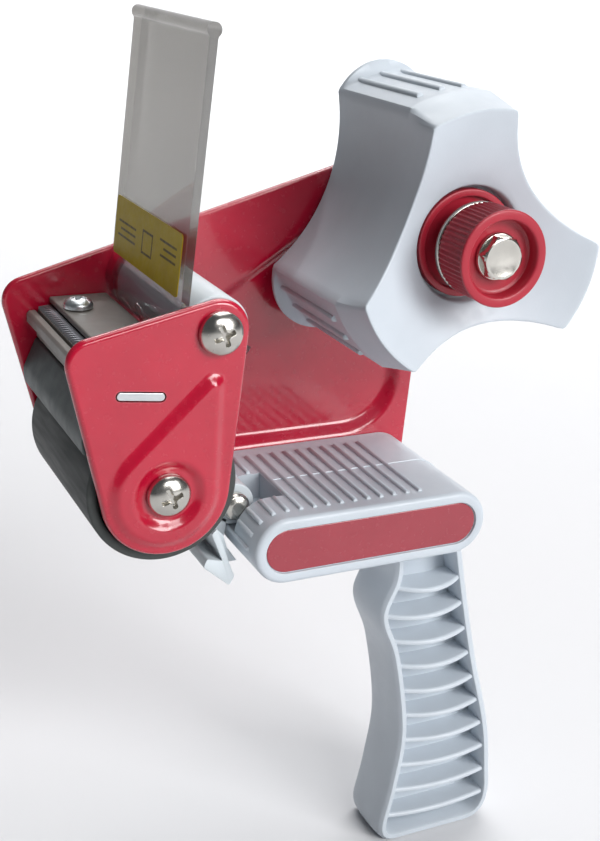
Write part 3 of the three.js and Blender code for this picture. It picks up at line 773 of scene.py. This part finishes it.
def flap_label():
    margin, low, high = 2, 6.4, 20.8
    near, far = FLAP_Y[0] + margin, FLAP_Y[1] - margin
    rounded = fillet([(near, low), (far, low), (far, high), (near, high)], 1.2, 5, True)
    loops = []
    for thick, shrink in ((0.0, 1), (0.18, 1), (0.22, 0.9994)):
        loop = []
        for y, up in rounded:
            x, z = on_flap(up, FLAP_FRONT + GAP + thick)
            loop.append((x, y * shrink, z))
        loops.append(loop)
    stand_for(loft("flap_sticker", loops), "flap_label")


# ---- blade

BAR_Y = (NEAR_IN + GAP, -GAP)
BAR_FRONT = -100.7
BAR_BACK = -80.0
BAR_TOP = -21.2
BAR_BOTTOM = -28.4
BLADE_THICK = 0.8
BLADE_SEAT = BAR_TOP + GAP
CLAMP_SEAT = BLADE_SEAT + BLADE_THICK + GAP
CLAMP_THICK = 1.6


def blade_holder():
    """The bar between the plates, with a lip along its front, and its bright tab."""
    front, top, lip = BAR_FRONT + 2.4, BAR_TOP, BAR_TOP - 3.2
    outline = [(front, BAR_BOTTOM), (BAR_BACK, BAR_BOTTOM), (BAR_BACK, top), (front + 0.5, top)]
    outline += [(front + 0.5, top - 1.6), (front - 0.1, top - 1.6), (front - 0.1, top - 0.2)]
    outline += [(BAR_FRONT + 0.6, top - 0.2), (BAR_FRONT, top - 0.9), (BAR_FRONT, lip), (front, lip - 0.5)]
    bar = slab("holder_bar", outline, *BAR_Y)
    stand_for(bar, "blade_holder")
    soften(bar, 0.3)
    tab = slab("holder_tab", tangent_outline(TAB, 0, 15), NEAR_OUT, SHEET)
    finish(soften(tab, 0.15), "zinc", "frame")


def cutting_blade():
    teeth, root, tip, back = 30, -95.3, -98.0, BAR_BACK - 4
    start, end = BAR_Y[0] + 1, BAR_Y[1] - 1
    pitch = (end - start) / teeth
    outline = [(back, start), (back, end)]
    for i in range(teeth, 0, -1):
        outline += [(root, start + i * pitch), (tip, start + (i - 0.5) * pitch)]
    outline.append((root, start))
    loops = [[(x, y, z) for x, y in outline] for z in (BLADE_SEAT, BLADE_SEAT + BLADE_THICK)]
    stand_for(loft("blade_strip", loops), "cutting_blade")


def blade_clamp():
    clamp = block("clamp_sheet", (-94.8, BAR_BACK), BAR_Y, (CLAMP_SEAT, CLAMP_SEAT + CLAMP_THICK))
    stand_for(clamp, "blade_clamp_plate")
    soften(clamp, 0.4)
    for node, y in (("blade_screw_near", -44), ("blade_screw_far", -13)):
        blade_screw(node, y, CLAMP_SEAT + CLAMP_THICK + GAP)


def front_cover():
    top = BAR_BOTTOM - GAP
    outline = [(-98.6, top), (-102.1, -36.5), (-101.6, -40.3)]
    outline += [(-100.4, -40.3), (-100.8, -36.7), (-97.4, top)]
    sheet = slab("cover_sheet", fillet(outline, 1.6, 6, True), *BAR_Y)
    stand_for(soften(sheet, 0.3), "front_cover_plate")


def blade_screw(node, y, seat):
    """A pan-head screw that stands upright in the clamp plate."""
    head = domed_head(node + "_dome", (0, 0), 0, 1, 3.6, 2.6, 1.9)
    stem = lathe(node + "_stem", [(0, -7.5), (1.7, -7.5), (1.7, 0.2), (0, 0.2)], (0, 0), 32)
    whole = join(node + "_whole", [head, stem])
    middle = place(-90.8, y, seat)
    for vertex in whole.data.vertices:
        offset = vertex.co - ORIGIN
        vertex.co = middle + Vector((offset.x, -offset.z, offset.y))
    sharpen(whole.data, 50)
    stand_for(whole, node)


# ---- handle

GRIP_Y = (-37.0, -18.0)
NOTCH_Y = (-33.5, -17.5)
NOTCH_RIGHT = -43.0
INLAY_R = 5.8


def stadium(radius):
    """The block's outline, or one inside it, as two half circles and the lines between them."""
    return tangent_outline([(*BLOCK_LEFT, radius), (*BLOCK_RIGHT, radius)], 0, 5)


def spline(points, count):
    """A Catmull-Rom curve through points."""
    inner = [np.array(p) for p in points]
    ends = [2 * inner[0] - inner[1], *inner, 2 * inner[-1] - inner[-2]]
    result = []
    for i in range(1, len(ends) - 2):
        p0, p1, p2, p3 = ends[i - 1 : i + 3]
        slope, square, cube = p2 - p0, 2 * p0 - 5 * p1 + 4 * p2 - p3, 3 * p1 - p0 - 3 * p2 + p3
        for t in (k / count for k in range(count)):
            result.append(tuple(0.5 * (2 * p1 + slope * t + square * t**2 + cube * t**3)))
    return result + [tuple(points[-1])]


GRIP_FRONT = [(-10.5, -80), (-9.1, -95), (-12.9, -107.3), (-8, -122), (-4.2, -146), (-6.0, -164)]
GRIP_FRONT += [(-8.5, -176.5)]
GRIP_BACK = [(28.6, -171.5), (26, -151), (19.5, -127), (14.2, -104), (9.3, -80)]


def bend(start, middle, end):
    """A curve that leaves one point towards the middle one and arrives at the end from it."""
    a, b, c = map(np.array, (start, middle, end))
    return [tuple(a * (1 - t) ** 2 + b * 2 * t * (1 - t) + c * t * t) for t in np.arange(1, 11) / 11]


def grip_outline():
    low = -184.0
    toe, heel = (-3.0, low), (20.0, low)
    foot = bend(GRIP_FRONT[-1], (-9.6, low), toe) + [toe, heel] + bend(heel, (29.6, low), GRIP_BACK[0])
    return spline(GRIP_FRONT, 12) + foot + spline(GRIP_BACK, 12)


def offset_outline(outline, distance):
    """A closed anticlockwise outline moved outwards, or inwards if distance is negative."""
    moved = []
    count = len(outline)
    for i, here in enumerate(outline):
        run = np.array(outline[(i + 1) % count]) - np.array(outline[i - 1])
        run = run / max(np.linalg.norm(run), 1e-9)
        moved.append((here[0] + run[1] * distance, here[1] - run[0] * distance))
    return moved


def handle_block():
    """The stadium-shaped block, with the inlay's pocket in its near face and the lever's notch."""
    edge, round_by = -46.6, 1.4
    levels = [(0.0, -0.3), (0.0, -24.0), (0.0, edge)]
    for t in np.linspace(0.2, math.pi / 2, 6):
        levels.append((round_by * (1 - math.cos(t)), edge - round_by * math.sin(t)))
    levels += [(2.6, -48.0), (2.85, -47.9), (2.9, -47.7), (2.9, -47.2)]
    body = loft("block_body", [level(stadium(BLOCK_R - inset), y) for inset, y in levels])
    notch = block("cut_notch", (-75, NOTCH_RIGHT), NOTCH_Y, (-74, -60))
    return carve(body, [notch, slab("cut_boss", disc(*LEVER, 6.3), *NOTCH_Y)])


def block_ribs():
    """Thin round-topped ribs along Y, over the block's top and round its front end."""
    near, far, count, beside = -43.4, -5.8, 15, 0.4
    parts = []
    for i in range(count):
        along = -7.6 - i * 3.85
        turn = math.pi / 2 + max(0.0, BLOCK_LEFT[0] - along) / BLOCK_R
        at = polar((max(along, BLOCK_LEFT[0]), BLOCK_LEFT[1]), BLOCK_R, turn)
        spans = [(near, far)]
        if at[0] < NOTCH_RIGHT and i < count - 1:
            spans = [(near, NOTCH_Y[0] - beside), (NOTCH_Y[1] + beside, far)]
        parts += [rib(at, turn, start, end) for start, end in spans]
    return parts


def parting_line():
    """The fine raised line that the mould leaves round the block."""
    start = NOTCH_RIGHT + 1
    loops = []
    for y, grow in ((-23.4, -0.2), (-23.2, 0.2), (-22.9, 0.2), (-22.7, -0.2)):
        reach = BLOCK_R + grow
        outline = arc(BLOCK_RIGHT, reach, -90, 90, 36)
        outline += [(start, BLOCK_RIGHT[1] + reach), (start, BLOCK_RIGHT[1] - reach)]
        loops.append(level(outline, y))
    return loft("block_line", loops)


def rib(at, turn, near, far, half=0.62, height=0.75):
    """A round-topped rib along Y that stands out of a surface facing the angle, with tapered ends."""
    out, side = polar((0, 0), 1, turn), polar((0, 0), 1, turn + math.pi / 2)
    tapers = [(0, 0.15), (0.15, 0.6), (0.5, 1.0)]
    levels = [(near + y, size) for y, size in tapers] + [(far - y, size) for y, size in reversed(tapers)]
    loops = []
    for y, size in levels:
        section = []
        for phase in (math.pi * k / 8 for k in range(9)):
            section.append((half * math.cos(phase), height * size * math.sin(phase) ** 0.7 - 0.02))
        section.append((0.0, -0.6))
        loop = []
        for across, up in section:
            loop.append((at[0] + side[0] * across + out[0] * up, y, at[1] + side[1] * across + out[1] * up))
        loops.append(loop)
    return loft("block_rib", loops)


def grip():
    """The grip's wall, swept round its outline, with its web and curved fins inside."""
    outline = grip_outline()
    middle = sum(GRIP_Y) / 2
    half = (GRIP_Y[1] - GRIP_Y[0]) / 2
    section = []
    for t in np.linspace(-1, 1, 25):
        crown = 0.9 * (1 - abs(t) ** 3)
        rounding = 0.55 * max(0.0, (abs(t) - 0.88) / 0.12) ** 2
        section.append((crown - rounding, t))
    section += [(-1.7, 1), (-2.0, 0.96), (-2.0, -0.96), (-1.7, -1)]
    loops = [level(offset_outline(outline, out), middle + half * t) for out, t in section]
    parts = [loft("grip_wall", loops, closed=True, sharp=50), web(outline, middle)]
    for i in range(10):
        parts.append(fin(outline, -99.0 - 8.5 * i, 3.6 - 0.28 * i, middle, half))
    return parts


def web(outline, middle):
    """The sheet that closes the grip halfway through its width."""
    near, far, inset = middle - 1.4, middle + 1.4, 0.6
    loops = []
    for z in np.linspace(-183.2, -80.5, 80):
        left, right = crossing(outline, z)
        corners = ((left + inset, near), (right - inset, near), (right - inset, far), (left + inset, far))
        loops.append([(x, y, z) for x, y in corners])
    return loft("grip_web", loops)


def crossing(outline, z):
    """Where an outline crosses a height: its lowest and highest x."""
    found = []
    for (x0, z0), (x1, z1) in zip(outline, outline[1:] + outline[:1]):
        if (z0 - z) * (z1 - z) < 0:
            found.append(x0 + (x1 - x0) * (z - z0) / (z1 - z0))
    return min(found), max(found)


def fin(outline, z, bulge, middle, half):
    """A curved rib across the grip, round and thick at both sides and thin at the web between them."""
    left, right = crossing(outline, z)
    thick, droop = 0.85, 0.9
    loops = []
    for u in np.linspace(-1, 1, 21):
        x = (left + right) / 2 + u * ((right - left) / 2 - 1.0)
        arch = 1 - u * u
        reach = half - 0.9 + bulge * arch
        loop = []
        for sign in (-1, 1):
            for across, up in arc((reach - thick, 0), thick, -90, 90, 6):
                lean = droop * arch * (across / reach) ** 2
                loop.append((x, middle + sign * across, z - lean + up))
        loops.append(loop)
    return loft("grip_fin", loops, sharp=60)


def handle():
    whole = join("handle_body", [handle_block(), parting_line(), *block_ribs(), *grip()])
    sharpen(whole.data, 40)
    stand_for(whole, "handle")
    levels = ((0.0, -47.25), (0.0, -47.42), (0.12, -47.5))
    loops = [level(stadium(INLAY_R - inset), y) for inset, y in levels]
    stand_for(loft("inlay_plate", loops), "handle_inlay")
    for node, axis in HANDLE_SCREWS.items():
        screw(node, axis, SHEET + GAP, 1, 4.2, 2.8, -12)


# ---- lever


def lever():
    """A ribbed foot on an arm that turns about the bolt in the handle's notch."""
    near, far = -30.0, -21.7
    arm = [(-56, -64), (-61, -66.5), (-64.2, -70.6), (-60.2, -82.2), (-58.4, -80), (-57.4, -74.2)]
    foot = [(-63.7, -70.3), (-65.3, -71.8), (-62.2, -79.6), (-66.4, -78.4)]
    foot += [(-67.4, -80.6), (-60.2, -86.9), (-58.8, -84.3), (-59.6, -82.6)]
    heel = [(-58.2, -79.4), (-60.2, -82.2), (-59.8, -85.4), (-54.2, -85.4)]
    stiffener = [(-63.2, -71.6), (-60.1, -81.4), (-58.9, -80.4), (-60.8, -74.0)]
    boss = ring("lever_boss", 5.6, BOLT_BORE, near, far, LEVER, 64, 0.4)
    parts = [
        slab("lever_arm", fillet(arm, 0.8, 4, True), near, far),
        slab("lever_foot", fillet(foot, 0.7, 4, True), -40, -13),
        slab("lever_heel", heel, near, far),
    ]
    parts += [slab("lever_rib", stiffener, y, y + 1.2) for y in (-36.6, -16.4)]
    bore = slab("lever_bore", disc(*LEVER, 4.5), near - 9, far + 9)
    body = carve(soften(join("lever_body", parts), 0.2, 2), [bore])
    stand_for(join("tape_lever", [body, boss]), "retaining_lever")


def lever_bolt():
    under = -30.3
    dome = [(0, -33.4), (1.8, -33.3), (3.2, -32.8), (3.7, -32.0), (3.7, under), (0, under)]
    shaft = [(0, -31), (3, -31), (3, -17.8), (2, -17.5), (2, 6.6), (0, 6.6)]
    parts = [lathe("bolt_head", dome, LEVER, 96, 0.3), lathe("bolt_shaft", shaft, LEVER, 48)]
    stand_for(join("pivot_bolt", parts), "lever_bolt")
    stand_for(hex_nut("pivot_nut", LEVER, 7, SCREW_BORE, SHEET + GAP, SHEET + 3.4), "lever_nut")
    stand_for(spring("lever_coil", 3.9, 0.45, 3, -20.95, -18.25, LEVER), "lever_spring")


def hexagon(name, axis, flats, limits, segments, start=0.0, closed=False, sharp=24):
    """A hexagonal piece. Each (radius, y) in limits is a loop that is cut off at that radius."""

    def reach_at(turn):
        return flats / 2 / math.cos((turn + math.pi / 6) % (math.pi / 3) - math.pi / 6)

    loops = []
    for limit, y in limits:
        loops.append(radial_loop(axis, y, lambda turn: min(reach_at(turn), limit), segments, start))
    return loft(name, loops, closed=closed, sharp=sharp)


def hex_nut(name, axis, flats, bore, near, far):
    """A nut whose corners are turned off at both ends."""
    inner = flats / 2
    corner = inner / math.cos(math.pi / 6)
    slope = corner - inner
    middle = inner + slope * 0.55
    limits = [(bore, near), (inner * 0.97, near), (inner, near + 0.02), (middle, near + slope * 0.6)]
    limits += [(corner, near + slope), (corner, far - slope), (middle, far - slope * 0.6)]
    limits += [(inner, far - 0.02), (bore, far)]
    return hexagon(name, axis, flats, limits, 96, closed=True)


# ---- hub

LOBE_TURN = math.radians(99.7)
LOBE_HALF = math.radians(18.5)
CORE_R = 37.5
VALLEY_R = 21.0
HUB_FAR = -3.0
HUB_STEP = -41.4
HUB_NEAR = -53.2
HUB_TIP = 34.35
HUB_ROUND = 0.9
HUB_WALL = 2.5
DISH_R = 14.8
DISH_RIM = -45.5
DISH_FLOOR = -41.0
FACE_START = DISH_R + 0.6


def fold(turn):
    """The angle from the nearest lobe's middle, 0 to 60 degrees."""
    part = (turn - LOBE_TURN) % (TAU / 3)
    return min(part, TAU / 3 - part)


def valley(turn):
    """How far the hollow side between two lobes is from the axis, in one direction."""
    spread = math.pi / 3 - LOBE_HALF
    across, along = CORE_R * math.sin(spread), CORE_R * math.cos(spread)
    centre = VALLEY_R + (across**2 + (along - VALLEY_R) ** 2) / (2 * (along - VALLEY_R))
    away = math.pi / 3 - fold(turn)
    inside = (centre - VALLEY_R) ** 2 - (centre * math.sin(away)) ** 2
    if inside <= 0:
        return 1e3
    return centre * math.cos(away) - math.sqrt(inside)


def soft_min(a, b, blend):
    h = max(blend - abs(a - b), 0) / blend
    return min(a, b) - h * h * blend / 4


def lip_reach(turn):
    """The round lip at a lobe's far end."""
    centre, radius = 27.0, 14.2
    away = fold(turn)
    inside = radius**2 - (centre * math.sin(away)) ** 2
    if inside <= 0:
        return 0.0
    return min(centre * math.cos(away) + math.sqrt(inside), valley(turn))


def dish(reach):
    """The y of the hub's dished face."""
    return DISH_RIM + (reach - DISH_R) * (HUB_NEAR - DISH_RIM) / (HUB_TIP - DISH_R)


def hub_side(turn, y):
    """The reach of the hub's side, which narrows from its step to its near face."""
    taper = max(0.0, (HUB_STEP - y) / (HUB_STEP - HUB_NEAR))
    return soft_min(CORE_R + (HUB_TIP - CORE_R) * taper, valley(turn), 1.6)


def hub_edge(turn):
    return hub_side(turn, HUB_NEAR + 1)


def face_point(turn, share):
    """A point of the dished face, at a share of the way to its rounded edge."""
    reach = FACE_START + (hub_edge(turn) - HUB_ROUND - FACE_START) * share
    return reach, dish(reach)


def edge_point(turn, t):
    """A point of the rounded edge between the dished face and the side."""
    edge = hub_edge(turn)
    start = edge - HUB_ROUND
    level = dish(edge) + HUB_ROUND
    shares = ((1 - t) ** 2, 2 * t * (1 - t), t**2)
    reach = start * shares[0] + edge * shares[1] + hub_side(turn, level) * shares[2]
    return reach, dish(start) * shares[0] + dish(edge) * shares[1] + level * shares[2]


def side_point(turn, level):
    """A point of the side, kept off the rounded edge."""
    y = max(level, dish(hub_edge(turn)) + HUB_ROUND + 0.01 * (level + 60))
    return hub_side(turn, y), y


def lip_point(turn, y, share):
    """A point where the lip swells out of the lobe's far end."""
    side = hub_side(turn, y)
    return max(side, side + (lip_reach(turn) - side) * share), y


def inner_point(turn, y, thick):
    return hub_side(turn, y) - thick, y


def hub():
    """One skin: out over the recess and the face, down the side, and back through the hollow inside."""
    turns = [LOBE_TURN + TAU * k / 288 for k in range(288)]
    loops = []

    def add(point_at, *values):
        loop = []
        for turn in turns:
            reach, y = point_at(turn, *values)
            loop.append((reach * math.cos(turn), y, reach * math.sin(turn)))
        loops.append(loop)

    def add_round(*points):
        for point in points:
            add(lambda turn: point)

    add_round((BOLT_BORE, HUB_FAR), (BOLT_BORE, DISH_FLOOR), (DISH_R - 0.4, DISH_FLOOR))
    add_round((DISH_R, DISH_FLOOR - 0.4))
    for reach, ease in ((DISH_R, 0.5), (DISH_R + 0.25, 0.12), (FACE_START, 0.0)):
        add_round((reach, dish(reach) + ease))
    for share in (0.25, 0.5, 0.75, 0.92, 1.0):
        add(face_point, share)
    for step in range(1, 6):
        add(edge_point, step / 5)
    for level in (-44.5, -42.4, -41.8, -41.4, -41.0, -40.4, -30, -18, -9):
        add(side_point, level)
    lip = ((-7.5, 0.0), (-6.0, 0.12), (-5.0, 0.45), (-4.5, 0.92), (-4.2, 1.0), (-3.4, 1.0), (-3.05, 0.93))
    for y, share in lip:
        add(lip_point, y, share)
    add(lambda turn: (lip_point(turn, HUB_FAR, 1.0)[0] - 0.4, HUB_FAR))
    for y in (HUB_FAR, -5.0, -25.0, -36.0):
        add(inner_point, y, HUB_WALL)
    add_round((17.4, -38.6), (7.4, -38.5), (7.0, -38.1), (7.0, HUB_FAR))
    parts = [loft("hub_body", loops, closed=True, sharp=28)]
    for i in range(3):
        for spread in (-9.5, 0.0, 9.5):
            turn = LOBE_TURN + i * TAU / 3 + math.radians(spread)
            parts.append(rib(polar(HUB, CORE_R, turn), turn, -37.5, -5.0, 0.9, 0.9))
    whole = join("core_hub_body", parts)
    sharpen(whole.data, 30)
    stand_for(whole, "tape_hub")


def hub_bolt():
    seat, near, end, flats = -58.3, -61.6, 10.8, 10.0
    under, rim, inner = seat - 0.9, seat - 0.5, flats / 2
    shank = [(0, seat - 1), (3, seat - 1), (3, end - 0.4), (2.6, end), (0, end)]
    flange = [(0, under), (5.7, under), (6, rim), (6, seat), (0, seat)]
    limits = [(3.6, near + 0.25), (4.3, near + 0.02), (inner - 0.2, near), (inner + 0.05, near + 0.12)]
    limits += [(inner + 0.4, near + 0.4), (inner + 0.78, near + 0.8), (inner + 0.78, seat - 0.6)]
    parts = [lathe("bolt_shank", shank, HUB, 64), lathe("bolt_flange", flange, HUB, 96, 0.2)]
    parts.append(hexagon("bolt_hexagon", HUB, flats, limits, 192, 0.35, sharp=20))
    stand_for(join("hub_bolt_whole", parts), "hub_bolt")
    stand_for(hex_nut("hub_lock_nut", HUB, 10, BOLT_BORE, 4.6 + GAP, 4.6 + 5.2), "hub_nut")
    stand_for(ring("hub_spacer_ring", 6, BOLT_BORE, HUB_FAR + GAP, 3 - GAP, HUB, 64), "hub_spacer")


def brake():
    floor, rim, outer, inner = DISH_FLOOR - GAP, -44.3, 13.7, 11.9
    cup = [(BOLT_BORE, floor), (outer, floor), (outer, rim), (inner, rim)]
    cup += [(inner, floor - 1.5), (BOLT_BORE, floor - 1.5)]
    stand_for(lathe("brake_cup_turned", cup, HUB, 128, 0.4, closed=True), "brake_cup")
    stand_for(spring("brake_coil", 7.5, 0.5, 3, -47.2, -43.8, HUB), "brake_spring")
    stand_for(ring("brake_disc", 11.7, BOLT_BORE, -49.8, -48.2, HUB, 128, 0.5), "brake_washer")


def knob():
    """A knurled skirt with a smooth rim round a recessed face. Levels: radius, y, depth of the teeth."""
    teeth, segments = 56, 448
    near, far, floor = -61.8, -50.1, -58.0
    levels = [(BOLT_BORE, far, 0), (10.6, far, 0), (11.6, far - 0.15, 0.3), (11.85, far - 0.5, 0.55)]
    levels += [(11.85, near + 1.3, 0.55), (11.95, near + 1.0, 0.25), (12.0, near + 0.7, 0)]
    levels += [(12.0, near + 0.3, 0), (11.85, near + 0.08, 0), (11.6, near, 0), (10.1, near, 0)]
    levels += [(9.75, near + 0.12, 0), (9.5, near + 0.5, 0), (9.3, floor - 0.4, 0)]
    levels += [(8.9, floor - 0.05, 0), (8.4, floor, 0), (BOLT_BORE, floor, 0)]

    def groove(turn):
        return (0.5 - 0.5 * math.cos(turn * teeth)) ** 0.8

    loops = []
    for radius, y, depth in levels:
        loops.append(radial_loop(HUB, y, lambda turn: radius - depth * groove(turn), segments))
    stand_for(loft("brake_knob_knurled", loops, closed=True, sharp=40), "brake_knob")


# ---- the stage

CAMERA_AT = (-176.8, -325.7, 73.3)
VIEW = Vector((0.42845, 0.83741, -0.33938))
VIEW_UP = Vector((0.10811, 0.32540, 0.93938))
VIEW_TURN = math.atan2(VIEW.x, VIEW.y)
MIDDLE = (0, 0, 0.13)
LIGHTS = [
    ("key", (0.95, -1.7, 0.9), MIDDLE, (0.9, 1.1), 32),
    ("front", (0.2, -1.75, 1.4), MIDDLE, (0.9, 0.6), 13),
    ("back", (0.9, 1.5, 2.4), (1.5, 2.7, 0.3), (2.6, 1.0), 110),
    ("top", (0.4, 0.2, 2.2), MIDDLE, (1.4, 1.2), 16),
]


def camera():
    data = bpy.data.cameras.new("camera")
    data.lens = 57.42
    data.shift_x = -0.0493
    data.shift_y = -0.0122
    data.clip_start = 0.01
    data.clip_end = 50
    obj = add_object("camera", data)
    obj.location = place(*CAMERA_AT)
    back = -VIEW.normalized()
    right = VIEW_UP.cross(back).normalized()
    obj.rotation_euler = Matrix((right, back.cross(right), back)).transposed().to_euler()
    bpy.context.scene.camera = obj


def softbox(name, location, target, size, power):
    data = bpy.data.lights.new(name, "AREA")
    data.shape = "RECTANGLE"
    data.size, data.size_y = size
    data.energy = power
    obj = add_object(name, data)
    obj.location = location
    forward = Vector(target) - Vector(location)
    obj.rotation_euler = forward.to_track_quat("-Z", "Y").to_euler()


def backdrop():
    """A pale floor that curves up into a wall behind the object."""
    wide, curve, wall_at = 7.0, 1.2, 3.4
    foot = wall_at - curve
    profile = [(-6.0, 0.0), *arc((foot, curve), curve, -90, 0, 12), (wall_at, 5.0)]
    points = [(side, away, up) for away, up in profile for side in (-wide, wide)]
    faces = [(2 * i, 2 * i + 1, 2 * i + 3, 2 * i + 2) for i in range(len(profile) - 1)]
    mesh = bpy.data.meshes.new("backdrop")
    mesh.from_pydata(points, [], faces)
    mesh.shade_smooth()
    pale = Shader("backdrop_paint", linear(216, 216, 218), 0.8)
    pale.mottle(3, 0.99)
    mesh.materials.append(pale.material)
    sheet = add_object("backdrop", mesh)
    sheet.rotation_euler.z = -VIEW_TURN


def studio():
    backdrop()
    world = bpy.data.worlds.new("studio")
    world.use_nodes = True
    sky = world.node_tree.nodes["Background"].inputs
    sky["Color"].default_value = (0.9, 0.95, 1, 1)
    sky["Strength"].default_value = 0.1
    bpy.context.scene.world = world
    bpy.context.scene.view_settings.view_transform = "Standard"
    for light in LIGHTS:
        softbox(*light)


side_frame()
near_side_plate()
axles()
roller()
guide()
flap()
flap_label()
blade_holder()
cutting_blade()
blade_clamp()
front_cover()
handle()
lever()
lever_bolt()
hub()
hub_bolt()
brake()
knob()
camera()
studio()
